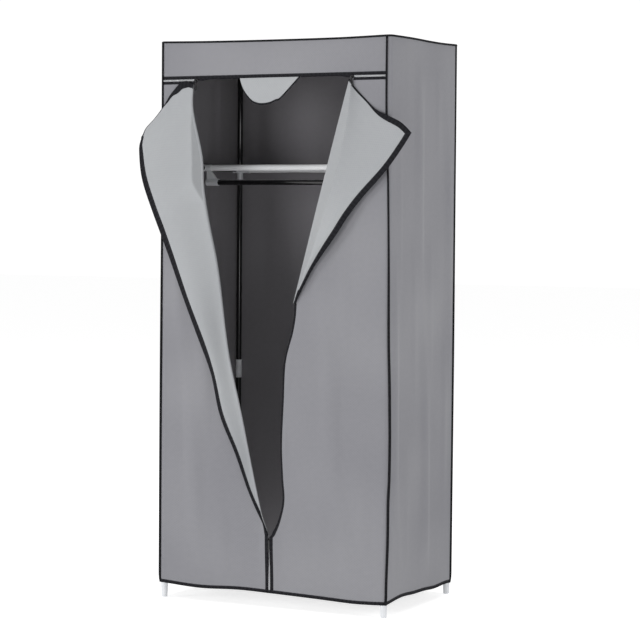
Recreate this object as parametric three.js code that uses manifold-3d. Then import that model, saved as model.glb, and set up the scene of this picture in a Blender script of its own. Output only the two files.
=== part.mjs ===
// A portable fabric wardrobe: a sewn cloth cover over a frame of steel tubes held in
// plastic connectors, with a T-shaped zip opening whose two corners are folded out.
// Millimetres, +Z up, the opening faces -Y.
import * as THREE from "three";
import { mergeVertices } from "three/addons/utils/BufferGeometryUtils.js";
import Module from "manifold-3d";

const wasm = await Module();
wasm.setup();

// Overall size
const height = 1600; // floor to the top of the cover
const postSpanX = 700; // between post axes, side to side
const postSpanY = 444; // between post axes, front to back

// Clearances
const fit = 0.3; // between pieces that touch
const overrun = 2; // how far a cutter runs past what it cuts
const weldDistance = 0.0003; // points closer than this are one point

// Steel tube
const tubeRadius = 8;
const tubeWall = 0.6;
const roundSides = 12;

// Plastic connectors
const socketWall = 1.7;
const socketReach = 36; // a joint's centre to the mouth of a socket
const tubeStop = 11; // a joint's centre to the end of the tube in the socket
const boreRadius = tubeRadius + fit;
const connectorRadius = boreRadius + socketWall;
const collarReach = 14; // a joint's centre to the shoulder that an upper post stands on
const pegRadius = tubeRadius - tubeWall - fit;
const sleeveWall = 1.3;
const sleeveLength = 55;
const footRadius = 9;
const footTipRadius = 8.6;

// Levels of the frame
const baseLevel = 60; // axes of the base tubes
const sleeveLevel = 640; // middle of the sleeves that join the posts
const shelfDrop = 350; // top of the cover down to the axes of the shelf tubes
const railDrop = 43; // shelf tube axis down to the hanging rail's axis

// Bracket that carries the middle shelf tube and the hanging rail
const bracketRingWall = 2;
const bracketRingLength = 26;
const bracketSocketReach = 24; // side tube axis to the mouth of the upper socket
const railSocketReach = 49; // side tube axis to the mouth of the rail socket
const railStop = 11; // side tube axis to the end of the hanging rail
const bracketWebThickness = 8;
const bracketEdge = boreRadius + bracketRingWall / 2; // side tube axis to the web's near edge

// Cover
const clothThickness = 1.2;
const coverSlack = 0.8; // between the cloth and the connectors
const hemLevel = 44;
const headerDepth = 110; // top of the cover down to the line of the zip
const zipGap = 0.6; // between the two sides of a closed zip
const cornerSides = 5;

// Opening: the T-shaped zip is open but for its two ends at the top and its foot
const closedZip = 104; // closed stretch at each end of the zip under the header
const mouthFoot = 205; // level down to which the middle zip is open

// Cloth tongue behind the header at the middle of the opening
const tongueHalf = 97;
const tongueDepth = 69;
const tongueOverlap = 12; // how far it is sewn up behind the header
const tongueOffset = -12;

// Shelf cloth
const shelfSag = 12;
const shelfSteps = 8;

// Zip sliders and their pulls
const sliderLength = 13;
const sliderWidth = 9;
const sliderPlate = 1.8;
const sliderDrop = 13; // the foot of the opening down to the centre slider's middle
const barRise = 3.4; // plate face to the middle of the cross bar
const barRadius = 0.8;
const lugGap = 5;
const lugThickness = 1.2;
const lugWidth = 3;
const eyeClearance = 0.4;
const eyeWall = 0.9;
const pullLength = 24;
const pullWidth = 7;
const pullThickness = 1.4;

// Folded-out corners and the slack edge. Each row is [down, across] or, for a free edge,
// [along the edge, down, across, forward], as shares of the drop, the half width and the lift.
const flapLift = 26;
const liftPower = 1.5; // how late across a folded corner its free edge lifts
const leftBowShares = [
  [0, 0.03], [0.05, 0.085], [0.17, 0.07], [0.3, 0.12], [0.41, 0.104], [0.6, 0.146], [0.73, 0.11],
  [0.95, 0.06], [1, 0.01],
];
const leftEdgeShares = [
  [0, 0.12, 1.76, 0.2], [0.1, 0.212, 1.665, 0.9], [0.2, 0.3, 1.495, 0.8], [0.3, 0.388, 1.315, 0.54],
  [0.4, 0.475, 1.127, 0.58], [0.5, 0.56, 0.905, 1.08], [0.6, 0.647, 0.741, 0.58], [0.7, 0.738, 0.615, 0.7],
  [0.8, 0.823, 0.415, 0.6], [0.9, 0.912, 0.246, 0.23], [1, 0.995, 0.02, 0.15],
];
const rightFoldEndShare = 0.487; // down share at which the right fold runs out
const rightFoldFootShare = 0.285; // across share there
const rightEdgeShares = [
  [0, 0.12, 1.76, 0.5], [0.2, 0.194, 1.48, 0.6], [0.4, 0.26, 1.15, 0.46], [0.5, 0.297, 0.995, 0.54],
  [0.6, 0.335, 0.861, 0.62], [0.8, 0.408, 0.564, 0.38], [0.9, 0.449, 0.438, 0.27], [1, 0.491, 0.34, 0.15],
];
const rightOpenEdgeShares = [
  [0.487, 0.285], [0.54, 0.262], [0.62, 0.146], [0.7, 0.138], [0.85, 0.145], [0.92, 0.162], [0.97, 0.1],
  [1, 0.02],
];
const leftBulgeShares = [[0, 0.1], [0.1, 0.3], [0.35, 0.75], [0.55, 0.9], [0.75, 0.3], [1, 0]];
const rightBulgeShares = [[0, 0.1], [0.2, 0.2], [0.5, 0.6], [0.8, 0.4], [1, 0]];
const slackLift = 24; // forward swell of the right door below its fold
const flapTopGap = 16; // slider line down to the cloth at the fold
const flapTopInset = 15; // clear way round the pull at the top of the hinge line
const flapTipShare = 0.965; // where the folded cloth ends above the foot of its fold

// Derived places
const topLevel = height - clothThickness - fit - connectorRadius;
const shelfLevel = height - shelfDrop;
const railLevel = shelfLevel - railDrop;
const zipLevel = height - headerDepth;
const postX = postSpanX / 2;
const postY = postSpanY / 2;
const cornerRadius = connectorRadius + coverSlack + clothThickness;
const frontFace = -postY - cornerRadius;
const backFace = postY + cornerRadius;
const coverTopLevel = height - clothThickness - fit; // top edges of the upright panels
const panelHalf = postX - fit; // half width of the flat front and back panels
const mouthHalf = postX - closedZip; // the mouth's half width at the top
const mouthDrop = zipLevel - mouthFoot;

// Materials
const steel = { color: 0x0d0d0f, roughness: 0.3, metalness: 0.2 };
const plastic = { color: 0xb9babd, roughness: 0.45, metalness: 0 };
const outerCloth = { color: 0x8f8f93, roughness: 0.92, metalness: 0 };
const innerCloth = { color: 0xafb0b4, roughness: 0.92, metalness: 0 };
const zipMetal = { color: 0x2b2c2f, roughness: 0.4, metalness: 0.6 };

const wardrobe = new THREE.Group();

function addPart(name, geometry, look, place = [0, 0, 0]) {
  const mesh = new THREE.Mesh(geometry, new THREE.MeshStandardMaterial(look));
  mesh.name = name;
  mesh.position.set(...place);
  wardrobe.add(mesh);
  return mesh;
}

// A closed geometry as a solid that can be joined and cut.
function solidFrom(geometry) {
  const bare = geometry.index ? geometry.toNonIndexed() : geometry.clone();
  bare.deleteAttribute("normal");
  bare.deleteAttribute("uv");
  const merged = mergeVertices(bare, weldDistance);
  return new wasm.Manifold(
    new wasm.Mesh({
      numProp: 3,
      vertProperties: merged.attributes.position.array,
      triVerts: new Uint32Array(merged.index.array),
    }),
  );
}

function geometryFrom(solid) {
  const mesh = solid.getMesh();
  const geometry = new THREE.BufferGeometry();
  geometry.setAttribute("position", new THREE.BufferAttribute(new Float32Array(mesh.vertProperties), 3));
  geometry.setIndex(new THREE.BufferAttribute(mesh.triVerts, 1));
  geometry.computeVertexNormals();
  return geometry;
}

function joinAll(geometries) {
  return geometries.map(solidFrom).reduce((sum, next) => sum.add(next));
}

function cutAll(body, cutters) {
  return cutters.map(solidFrom).reduce((left, next) => left.subtract(next), body);
}

// Turns a shape that stands on +Y to point along a direction, then moves it.
function aim(geometry, direction, place = [0, 0, 0]) {
  const up = new THREE.Vector3(0, 1, 0);
  const turn = new THREE.Quaternion().setFromUnitVectors(up, new THREE.Vector3(...direction));
  geometry.applyQuaternion(turn);
  geometry.translate(...place);
  return geometry;
}

// A solid of revolution on +Y between two heights, with a radius at each end.
function roundBar(radiusLow, radiusHigh, low, high) {
  const profile = [
    new THREE.Vector2(0, low),
    new THREE.Vector2(radiusLow, low),
    new THREE.Vector2(radiusHigh, high),
    new THREE.Vector2(0, high),
  ];
  return new THREE.LatheGeometry(profile, roundSides);
}

// A pipe on +Y from zero to its length.
function pipe(outer, inner, length) {
  const profile = [
    new THREE.Vector2(inner, 0),
    new THREE.Vector2(outer, 0),
    new THREE.Vector2(outer, length),
    new THREE.Vector2(inner, length),
    new THREE.Vector2(inner, 0),
  ];
  return new THREE.LatheGeometry(profile, roundSides);
}

function box(low, high) {
  const size = high.map((value, k) => value - low[k]);
  const middle = high.map((value, k) => (value + low[k]) / 2);
  return new THREE.BoxGeometry(...size).translate(...middle);
}

// Smooth curve through a table of rows whose first entry rises; it gives one entry of the row.
function follow(table, entry, where) {
  const last = table.length - 1;
  let k = 0;
  while (k < last - 1 && where > table[k + 1][0]) {
    k += 1;
  }
  const slope = (i) => {
    const a = table[Math.max(i - 1, 0)];
    const b = table[Math.min(i + 1, last)];
    return (b[entry] - a[entry]) / (b[0] - a[0]);
  };
  const step = table[k + 1][0] - table[k][0];
  const t = THREE.MathUtils.clamp((where - table[k][0]) / step, 0, 1);
  const ease = t * t * (3 - 2 * t);
  const lead = t * (1 - t) * (1 - t) * step * slope(k);
  const trail = t * t * (t - 1) * step * slope(k + 1);
  return table[k][entry] * (1 - ease) + table[k + 1][entry] * ease + lead + trail;
}

// Frame tubes

function tube(name, start, direction, length) {
  const geometry = aim(pipe(tubeRadius, tubeRadius - tubeWall, length), direction);
  addPart(name, geometry, steel, start);
}

const corners = [
  { end: "front", side: "left", sx: -1, sy: -1 },
  { end: "front", side: "right", sx: 1, sy: -1 },
  { end: "back", side: "left", sx: -1, sy: 1 },
  { end: "back", side: "right", sx: 1, sy: 1 },
];

for (const { end, side, sx, sy } of corners) {
  const x = sx * postX;
  const y = sy * postY;
  const stretches = [
    ["lower", baseLevel + tubeStop, sleeveLevel - fit],
    ["middle", sleeveLevel + fit, shelfLevel - tubeStop],
    ["upper", shelfLevel + collarReach + fit, topLevel - tubeStop],
  ];
  for (const [part, low, high] of stretches) {
    tube(`post_${part}_${end}_${side}`, [x, y, low], [0, 0, 1], high - low);
  }
}

const tubeLengthX = postSpanX - 2 * tubeStop;
const tubeLengthY = postSpanY - 2 * tubeStop;

for (const [level, z] of [["base", baseLevel], ["top", topLevel]]) {
  for (const [end, sy] of [["front", -1], ["back", 1]]) {
    tube(`${level}_tube_${end}`, [tubeStop - postX, sy * postY, z], [1, 0, 0], tubeLengthX);
  }
  for (const [side, sx] of [["left", -1], ["right", 1]]) {
    tube(`${level}_tube_${side}`, [sx * postX, tubeStop - postY, z], [0, 1, 0], tubeLengthY);
  }
}

for (const [side, sx] of [["left", -1], ["right", 1]]) {
  tube(`shelf_tube_${side}`, [sx * postX, tubeStop - postY, shelfLevel], [0, 1, 0], tubeLengthY);
}
tube("shelf_tube_back", [tubeStop - postX, postY, shelfLevel], [1, 0, 0], tubeLengthX);

const bracketRingRadius = boreRadius + bracketRingWall;
const middleTubeStop = bracketRingRadius + fit;
const middleTubeLength = postSpanX - 2 * middleTubeStop;
tube("shelf_tube_middle", [middleTubeStop - postX, 0, shelfLevel], [1, 0, 0], middleTubeLength);
tube("hanging_rail", [railStop - postX, 0, railLevel], [1, 0, 0], postSpanX - 2 * railStop);

// Connectors

// Sockets that meet at a joint's centre, one along each direction, bored for the tubes.
function connector(directions, extras = []) {
  const arm = () => roundBar(connectorRadius, connectorRadius, -overrun, socketReach);
  const bore = () => roundBar(boreRadius, boreRadius, tubeStop - fit, socketReach + overrun);
  const arms = directions.map((direction) => aim(arm(), direction));
  const bores = directions.map((direction) => aim(bore(), direction));
  return geometryFrom(cutAll(joinAll([...arms, ...extras]), bores));
}

for (const { end, side, sx, sy } of corners) {
  const place = (z) => [sx * postX, sy * postY, z];
  const inwardX = [-sx, 0, 0];
  const inwardY = [0, -sy, 0];
  const up = [0, 0, 1];
  const down = [0, 0, -1];

  const foot = aim(roundBar(footRadius, footTipRadius, -overrun, baseLevel), down);
  const footed = connector([up, inwardX, inwardY], [foot]);
  addPart(`foot_connector_${end}_${side}`, footed, plastic, place(baseLevel));

  // The upper post slips over a peg here, so that nothing but a low collar shows above the shelf.
  const collar = aim(roundBar(connectorRadius, connectorRadius, -overrun, collarReach), up);
  const peg = aim(roundBar(pegRadius, pegRadius, -overrun, socketReach), up);
  const shelfArms = sy > 0 ? [down, inwardX, inwardY] : [down, inwardY];
  const pegged = connector(shelfArms, [collar, peg]);
  addPart(`shelf_connector_${end}_${side}`, pegged, plastic, place(shelfLevel));

  addPart(`top_connector_${end}_${side}`, connector([down, inwardX, inwardY]), plastic, place(topLevel));

  const sleeve = aim(pipe(boreRadius + sleeveWall, boreRadius, sleeveLength), up);
  addPart(`post_sleeve_${end}_${side}`, sleeve, plastic, place(sleeveLevel - sleeveLength / 2));
}

// The bracket rings the side tube, holds the middle shelf tube level with it and, on a
// web that widens downwards, the hanging rail below. Its origin is on the side tube's axis.
function railBracket() {
  const web = new THREE.Shape([
    new THREE.Vector2(bracketEdge, 0),
    new THREE.Vector2(bracketEdge, -railDrop),
    new THREE.Vector2(railSocketReach, -railDrop),
    new THREE.Vector2(bracketSocketReach, -connectorRadius),
    new THREE.Vector2(bracketSocketReach, 0),
  ]);
  const plate = new THREE.ExtrudeGeometry(web, { depth: bracketWebThickness, bevelEnabled: false });
  plate.rotateX(Math.PI / 2);
  plate.translate(0, bracketWebThickness / 2, 0);
  const out = [1, 0, 0];
  const along = [0, 1, 0];
  const low = [0, 0, -railDrop];
  const ring = bracketRingLength / 2;
  const body = joinAll([
    plate,
    aim(roundBar(bracketRingRadius, bracketRingRadius, -ring, ring), along),
    aim(roundBar(connectorRadius, connectorRadius, 0, bracketSocketReach), out),
    aim(roundBar(connectorRadius, connectorRadius, bracketEdge, railSocketReach), out, low),
  ]);
  const cutters = [
    aim(roundBar(boreRadius, boreRadius, -ring - overrun, ring + overrun), along),
    aim(roundBar(boreRadius, boreRadius, middleTubeStop - fit, bracketSocketReach + overrun), out),
    aim(roundBar(boreRadius, boreRadius, railStop - fit, railSocketReach + overrun), out, low),
  ];
  return geometryFrom(cutAll(body, cutters));
}

addPart("rail_bracket_left", railBracket(), plastic, [-postX, 0, shelfLevel]);
addPart("rail_bracket_right", railBracket(), plastic, [postX, 0, shelfLevel]).rotation.z = Math.PI;

// Shelf cloth: a sagging sheet with a hem round the middle tube and one round the back tube.
function shelfCloth() {
  const hemRadius = boreRadius + clothThickness;
  const frontHalf = postX - bracketSocketReach - fit;
  const backHalf = postX - socketReach - fit;
  const hemAt = (half, y) => aim(pipe(hemRadius, boreRadius, 2 * half), [1, 0, 0], [-half, y, 0]);
  const rise = hemRadius - clothThickness / 2;
  const outline = [];
  for (let k = 0; k <= shelfSteps; k += 1) {
    const t = k / shelfSteps;
    outline.push(new THREE.Vector2(t * postY, rise - shelfSag * 4 * t * (1 - t)));
  }
  const upper = outline.map((p) => new THREE.Vector2(p.x, p.y + clothThickness / 2));
  const lower = outline.map((p) => new THREE.Vector2(p.x, p.y - clothThickness / 2)).reverse();
  const sheet = new THREE.ExtrudeGeometry(new THREE.Shape([...upper, ...lower]), {
    depth: 2 * frontHalf,
    bevelEnabled: false,
  });
  // The outline's x becomes depth, its y becomes height and its depth the width.
  sheet.applyMatrix4(new THREE.Matrix4().makeBasis(
    new THREE.Vector3(0, 1, 0),
    new THREE.Vector3(0, 0, 1),
    new THREE.Vector3(1, 0, 0),
  ));
  sheet.translate(-frontHalf, 0, 0);
  const body = joinAll([sheet, hemAt(frontHalf, 0), hemAt(backHalf, postY)]);
  const notch = socketReach + connectorRadius;
  const notches = [-1, 1].map((side) => {
    const inner = side * backHalf;
    const outer = side * (frontHalf + overrun);
    const low = [Math.min(inner, outer), postY - notch, -hemRadius - shelfSag];
    return box(low, [Math.max(inner, outer), postY + notch, hemRadius + overrun]);
  });
  return geometryFrom(cutAll(body, notches));
}

addPart("shelf_cloth", shelfCloth(), innerCloth, [0, 0, shelfLevel]);

// Cover panels

// A side panel seen from above wraps a quarter turn round the posts at its two ends.
function sidePanel() {
  const outer = cornerRadius;
  const inner = cornerRadius - clothThickness;
  const shape = new THREE.Shape();
  shape.moveTo(0, -postY - outer);
  shape.absarc(0, -postY, outer, -Math.PI / 2, 0, false);
  shape.absarc(0, postY, outer, 0, Math.PI / 2, false);
  shape.lineTo(0, postY + inner);
  shape.absarc(0, postY, inner, Math.PI / 2, 0, true);
  shape.absarc(0, -postY, inner, 0, -Math.PI / 2, true);
  return new THREE.ExtrudeGeometry(shape, {
    depth: coverTopLevel - hemLevel,
    bevelEnabled: false,
    curveSegments: cornerSides,
  });
}

addPart("cover_right", sidePanel(), outerCloth, [postX, 0, hemLevel]);
addPart("cover_left", sidePanel(), outerCloth, [-postX, 0, hemLevel]).rotation.z = Math.PI;

function topPanel() {
  const shape = new THREE.Shape();
  shape.absarc(postX, postY, cornerRadius, 0, Math.PI / 2, false);
  shape.absarc(-postX, postY, cornerRadius, Math.PI / 2, Math.PI, false);
  shape.absarc(-postX, -postY, cornerRadius, Math.PI, 1.5 * Math.PI, false);
  shape.absarc(postX, -postY, cornerRadius, 1.5 * Math.PI, 2 * Math.PI, false);
  return new THREE.ExtrudeGeometry(shape, {
    depth: clothThickness,
    bevelEnabled: false,
    curveSegments: cornerSides,
  });
}

addPart("cover_top", topPanel(), outerCloth, [0, 0, height - clothThickness]);

const backLow = [-panelHalf, backFace - clothThickness, hemLevel];
addPart("cover_back", box(backLow, [panelHalf, backFace, coverTopLevel]), outerCloth);

const headerLow = [-panelHalf, frontFace, zipLevel + zipGap / 2];
addPart("cover_header", box(headerLow, [panelHalf, frontFace + clothThickness, coverTopLevel]), outerCloth);

// The tongue hangs behind the header as a half ellipse that droops to its left.
function tongue() {
  const shape = new THREE.Shape();
  shape.moveTo(tongueHalf, tongueOverlap);
  shape.lineTo(-tongueHalf, tongueOverlap);
  shape.lineTo(-tongueHalf, 0);
  const steep = -tongueHalf / 2;
  const lowest = -tongueHalf / 4;
  shape.bezierCurveTo(-tongueHalf, -tongueDepth, steep, -tongueDepth, lowest, -tongueDepth);
  shape.bezierCurveTo(-lowest, -tongueDepth, -steep, -tongueDepth / 2, tongueHalf, 0);
  const plate = new THREE.ExtrudeGeometry(shape, {
    depth: clothThickness,
    bevelEnabled: false,
    curveSegments: 2 * cornerSides,
  });
  return plate.rotateX(Math.PI / 2);
}

const tongueFace = frontFace + clothThickness + fit;
addPart("header_tongue", tongue(), innerCloth, [tongueOffset, tongueFace + clothThickness, zipLevel]);

// A sheet of cloth: a grid of points on its outer face, the same grid one thickness behind
// it, and a rim of faces between them. Seen from outside, u runs right and v runs up.
function sheet(columns, rows, pointAt) {
  const stride = columns + 1;
  const count = stride * (rows + 1);
  const face = [];
  for (let j = 0; j <= rows; j += 1) {
    for (let i = 0; i <= columns; i += 1) {
      face.push(pointAt(i / columns, j / rows));
    }
  }
  const at = (i, j) => {
    const column = THREE.MathUtils.clamp(i, 0, columns);
    const row = THREE.MathUtils.clamp(j, 0, rows);
    return face[row * stride + column];
  };
  const positions = face.flatMap((point) => point.toArray());
  for (let j = 0; j <= rows; j += 1) {
    for (let i = 0; i <= columns; i += 1) {
      const across = at(i + 1, j).clone().sub(at(i - 1, j));
      const upward = at(i, j + 1).clone().sub(at(i, j - 1));
      const behind = at(i, j).clone().addScaledVector(across.cross(upward).normalize(), -clothThickness);
      positions.push(behind.x, behind.y, behind.z);
    }
  }
  const index = [];
  const quad = (a, b, c, d) => index.push(a, b, c, a, c, d);
  for (let j = 0; j < rows; j += 1) {
    for (let i = 0; i < columns; i += 1) {
      const a = j * stride + i;
      quad(a, a + 1, a + stride + 1, a + stride);
      quad(count + a, count + a + stride, count + a + stride + 1, count + a + 1);
    }
  }
  const range = (length) => [...Array(length).keys()];
  const rim = [
    ...range(columns),
    ...range(rows).map((j) => j * stride + columns),
    ...range(columns).map((i) => rows * stride + columns - i),
    ...range(rows).map((j) => (rows - j) * stride),
  ];
  rim.forEach((a, k) => {
    const b = rim[(k + 1) % rim.length];
    quad(a, count + a, count + b, b);
  });
  const geometry = new THREE.BufferGeometry();
  geometry.setAttribute("position", new THREE.Float32BufferAttribute(positions, 3));
  geometry.setIndex(index);
  geometry.computeVertexNormals();
  return geometry;
}

// Distance from the middle of the opening to a door's inner edge, at a share of the drop.
// The left door is folded out all the way down. The right door is folded to a point on its
// straight fold, and below that its free edge hangs slack.
function leftInner(down) {
  return mouthHalf * (1 - down + follow(leftBowShares, 1, down));
}

function rightFold(down) {
  return mouthHalf * THREE.MathUtils.mapLinear(down, 0, rightFoldEndShare, 1, rightFoldFootShare);
}

function rightInner(down) {
  return down < rightFoldEndShare ? rightFold(down) : mouthHalf * follow(rightOpenEdgeShares, 1, down);
}

// Rows of a door panel, closer together where its inner edge bends.
const doorRows = 30;
const closedRows = 2;

function doorLevel(v) {
  const closedShare = closedRows / doorRows;
  const top = zipLevel - zipGap / 2;
  return v <= closedShare
    ? THREE.MathUtils.mapLinear(v, 0, closedShare, hemLevel, mouthFoot)
    : THREE.MathUtils.mapLinear(v, closedShare, 1, mouthFoot, top);
}

function innerEdge(inner, z) {
  return z < mouthFoot + fit ? zipGap / 2 : inner((zipLevel - z) / mouthDrop) + fit;
}

function leftDoor(u, v) {
  const z = doorLevel(v);
  const x = THREE.MathUtils.lerp(-panelHalf, -innerEdge(leftInner, z), u);
  return new THREE.Vector3(x, frontFace, z);
}

// The right door swells forward where the pulled-aside edge leaves it slack.
function rightDoor(u, v) {
  const z = doorLevel(v);
  const x = THREE.MathUtils.lerp(innerEdge(rightInner, z), panelHalf, u);
  const down = (zipLevel - z) / mouthDrop;
  const free = THREE.MathUtils.clamp((down - rightFoldEndShare) / (1 - rightFoldEndShare), 0, 1);
  const swell = Math.sin(Math.PI * free) ** 2 * Math.sin(Math.PI * u) * (1 - u);
  return new THREE.Vector3(x, frontFace - slackLift * swell, z);
}

const leftDoorColumns = 2;
const rightDoorColumns = 8;
addPart("front_panel_left", sheet(leftDoorColumns, doorRows, leftDoor), outerCloth);
addPart("front_panel_right", sheet(rightDoorColumns, doorRows, rightDoor), outerCloth);

// A folded-out corner runs from its fold to its free edge and swells forward between them.
// along is the share of the fold's length, out is 0 at the fold and 1 at the free edge.
function foldedCorner(side, foldAt, edgeShares, bulgeShares, along, out) {
  const fold = foldAt(along);
  const edge = {
    x: side * mouthHalf * follow(edgeShares, 2, along),
    z: zipLevel - mouthDrop * follow(edgeShares, 1, along),
    forward: flapLift * follow(edgeShares, 3, along),
  };
  const swell = flapLift * follow(bulgeShares, 1, along) * Math.sin(Math.PI * out) * out;
  const forward = edge.forward * out ** liftPower + swell;
  const x = THREE.MathUtils.lerp(fold.x, edge.x, out);
  const z = THREE.MathUtils.lerp(fold.z, edge.z, out);
  return new THREE.Vector3(x, frontFace - fit - clothThickness - forward, z);
}

// The fold starts below the slider and keeps clear of the hanging pull there.
function foldPoint(side, inner, down) {
  const clear = flapTopInset * THREE.MathUtils.clamp(2 - (down * mouthDrop) / pullLength, 0, 1);
  const fromHinge = inner(down) - THREE.MathUtils.lerp(mouthHalf, 0, down);
  const inset = side < 0 ? Math.max(fromHinge, clear) - fromHinge : clear;
  return { x: side * (inner(down) + fit + inset), z: zipLevel - mouthDrop * down };
}

const flapTopShare = flapTopGap / mouthDrop;

function leftFlap(u, v) {
  const along = THREE.MathUtils.lerp(flapTipShare, 0, v);
  const foldAt = (a) => foldPoint(-1, leftInner, THREE.MathUtils.lerp(flapTopShare, 1, a));
  return foldedCorner(-1, foldAt, leftEdgeShares, leftBulgeShares, along, 1 - u);
}

function rightFlap(u, v) {
  const along = THREE.MathUtils.lerp(flapTipShare, 0, v);
  const foldAt = (a) => foldPoint(1, rightFold, THREE.MathUtils.lerp(flapTopShare, rightFoldEndShare, a));
  return foldedCorner(1, foldAt, rightEdgeShares, rightBulgeShares, along, u);
}

const flapColumns = 8;
const leftFlapRows = 32;
const rightFlapRows = 20;
addPart("flap_left", sheet(flapColumns, leftFlapRows, leftFlap), innerCloth);
addPart("flap_right", sheet(flapColumns, rightFlapRows, rightFlap), innerCloth);

// Zip sliders: a plate on the zip, two lugs and a cross bar for the pull. The origin is on
// the back of the plate, with -Y outwards.
function slider(width, length) {
  const lugMiddle = (lugGap + lugThickness) / 2;
  const barLevel = sliderPlate + barRise;
  const lug = (side) => box(
    [side * lugMiddle - lugThickness / 2, -barLevel - barRadius, -lugWidth / 2],
    [side * lugMiddle + lugThickness / 2, -sliderPlate / 2, lugWidth / 2],
  );
  const bar = aim(roundBar(barRadius, barRadius, -lugMiddle, lugMiddle), [1, 0, 0], [0, -barLevel, 0]);
  const plate = box([-width / 2, -sliderPlate, -length / 2], [width / 2, 0, length / 2]);
  return geometryFrom(joinAll([plate, lug(-1), lug(1), bar]));
}

// A pull: an eye round the cross bar and a tab with a round end. The origin is on the bar.
function pull() {
  const holeRadius = barRadius + eyeClearance;
  const eyeRadius = holeRadius + eyeWall;
  const eyeHalf = lugGap / 2 - fit;
  const shape = new THREE.Shape();
  shape.moveTo(-eyeHalf, 0);
  shape.lineTo(-pullWidth / 2, pullWidth / 2 - pullLength);
  shape.absarc(0, pullWidth / 2 - pullLength, pullWidth / 2, Math.PI, 2 * Math.PI, false);
  shape.lineTo(eyeHalf, 0);
  const tab = new THREE.ExtrudeGeometry(shape, {
    depth: pullThickness,
    bevelEnabled: false,
    curveSegments: cornerSides,
  });
  tab.rotateX(Math.PI / 2);
  tab.translate(0, pullThickness / 2, 0);
  const eye = aim(roundBar(eyeRadius, eyeRadius, -eyeHalf, eyeHalf), [1, 0, 0]);
  const hole = aim(roundBar(holeRadius, holeRadius, -pullWidth, pullWidth), [1, 0, 0]);
  return geometryFrom(cutAll(joinAll([tab, eye]), [hole]));
}

const sliderBack = frontFace - fit;
const barFace = sliderBack - sliderPlate - barRise;
const sliders = [
  { name: "left", x: -mouthHalf, z: zipLevel, width: sliderLength, length: sliderWidth },
  { name: "right", x: mouthHalf, z: zipLevel, width: sliderLength, length: sliderWidth },
  { name: "centre", x: 0, z: mouthFoot - sliderDrop, width: sliderWidth, length: sliderLength },
];
for (const { name, x, z, width, length } of sliders) {
  addPart(`slider_${name}`, slider(width, length), zipMetal, [x, sliderBack, z]);
  addPart(`pull_${name}`, pull(), zipMetal, [x, barFace, z]);
}

// The origin is the middle of the outer box, on the floor.
wardrobe.updateMatrixWorld(true);
const reach = new THREE.Box3().setFromObject(wardrobe, true);
const middle = reach.getCenter(new THREE.Vector3());
wardrobe.position.set(-middle.x, -middle.y, -reach.min.z);

const part = new THREE.Group();
part.add(wardrobe);
export default part;
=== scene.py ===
# %% [markdown]
# A portable fabric wardrobe: a sewn cover of non-woven cloth over a light frame of black
# steel tubes held in plastic connectors, with a T-shaped zip opening at the front.
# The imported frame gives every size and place, so it's loaded first and its box is kept.
# The looks are then built piece by piece as meshes worked out with numpy.

# %% Load the frame
from functools import partial

import bpy
import numpy as np
from mathutils import Matrix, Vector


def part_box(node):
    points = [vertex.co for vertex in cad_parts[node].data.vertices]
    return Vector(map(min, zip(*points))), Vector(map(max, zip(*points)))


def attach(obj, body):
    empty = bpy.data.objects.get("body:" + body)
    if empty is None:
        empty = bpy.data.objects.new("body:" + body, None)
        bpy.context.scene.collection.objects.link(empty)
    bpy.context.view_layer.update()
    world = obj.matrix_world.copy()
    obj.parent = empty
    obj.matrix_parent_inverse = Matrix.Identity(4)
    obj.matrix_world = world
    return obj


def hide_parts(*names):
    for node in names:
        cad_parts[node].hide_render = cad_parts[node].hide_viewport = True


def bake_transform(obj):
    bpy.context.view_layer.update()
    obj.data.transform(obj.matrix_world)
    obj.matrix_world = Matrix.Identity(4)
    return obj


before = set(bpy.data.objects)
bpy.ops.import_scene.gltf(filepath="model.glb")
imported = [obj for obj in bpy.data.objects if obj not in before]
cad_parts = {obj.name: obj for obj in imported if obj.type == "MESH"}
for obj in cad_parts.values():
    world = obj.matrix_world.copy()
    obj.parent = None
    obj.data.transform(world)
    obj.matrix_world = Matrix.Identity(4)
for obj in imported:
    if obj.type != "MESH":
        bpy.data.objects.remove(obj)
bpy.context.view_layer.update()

MM = 0.001  # metres in a millimetre

# %% [markdown]
# The frame's own pieces say where everything is. Reading their corners once, in
# millimetres, gives the few sizes that all cloth and hardware below are worked out from.

# %% Places read from the frame
def box_mm(node):
    """Lowest and highest corner of a CAD node, in millimetres."""
    return np.array(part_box(node)) / MM


def middle_mm(node):
    """Middle of a CAD node's box, in millimetres."""
    return box_mm(node).sum(axis=0) / 2


x_axis, y_axis, z_axis = np.eye(3)
post_low, post_high = box_mm("post_lower_front_right")
tube_radius = (post_high[0] - post_low[0]) / 2
post_x, front_post = middle_mm("post_lower_front_right")[:2]
rear_post = middle_mm("post_lower_back_right")[1]
mid_depth = (front_post + rear_post) / 2
half_depth = (rear_post - front_post) / 2
corner_radius = box_mm("cover_right")[1][0] - post_x
front_face = front_post - corner_radius
hem_level = box_mm("cover_right")[0][2]
crown = box_mm("cover_top")[1][2]
shelf_level = middle_mm("shelf_tube_middle")[2]
base_level = middle_mm("base_tube_front")[2]
slider_x, _, zip_level = middle_mm("slider_right")
centre_slider_level = middle_mm("slider_centre")[2]
slider_foot, slider_top = box_mm("slider_centre")[:, 2]
mouth_foot = centre_slider_level + slider_top - slider_foot
mouth_drop = zip_level - mouth_foot
print("posts at x", round(post_x, 1), "y", round(front_post, 1), round(rear_post, 1))
print("mouth from", round(mouth_foot, 1), "to", round(zip_level, 1), "half width", round(slider_x, 1))

# %% [markdown]
# The photograph was taken from 26 degrees right of the front and two thirds of the way
# up the cover, with a long lens. The camera's place, aim and focal length in pixels come
# from fitting the wardrobe's corners to the picture, so the render lines up with it.

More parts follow.
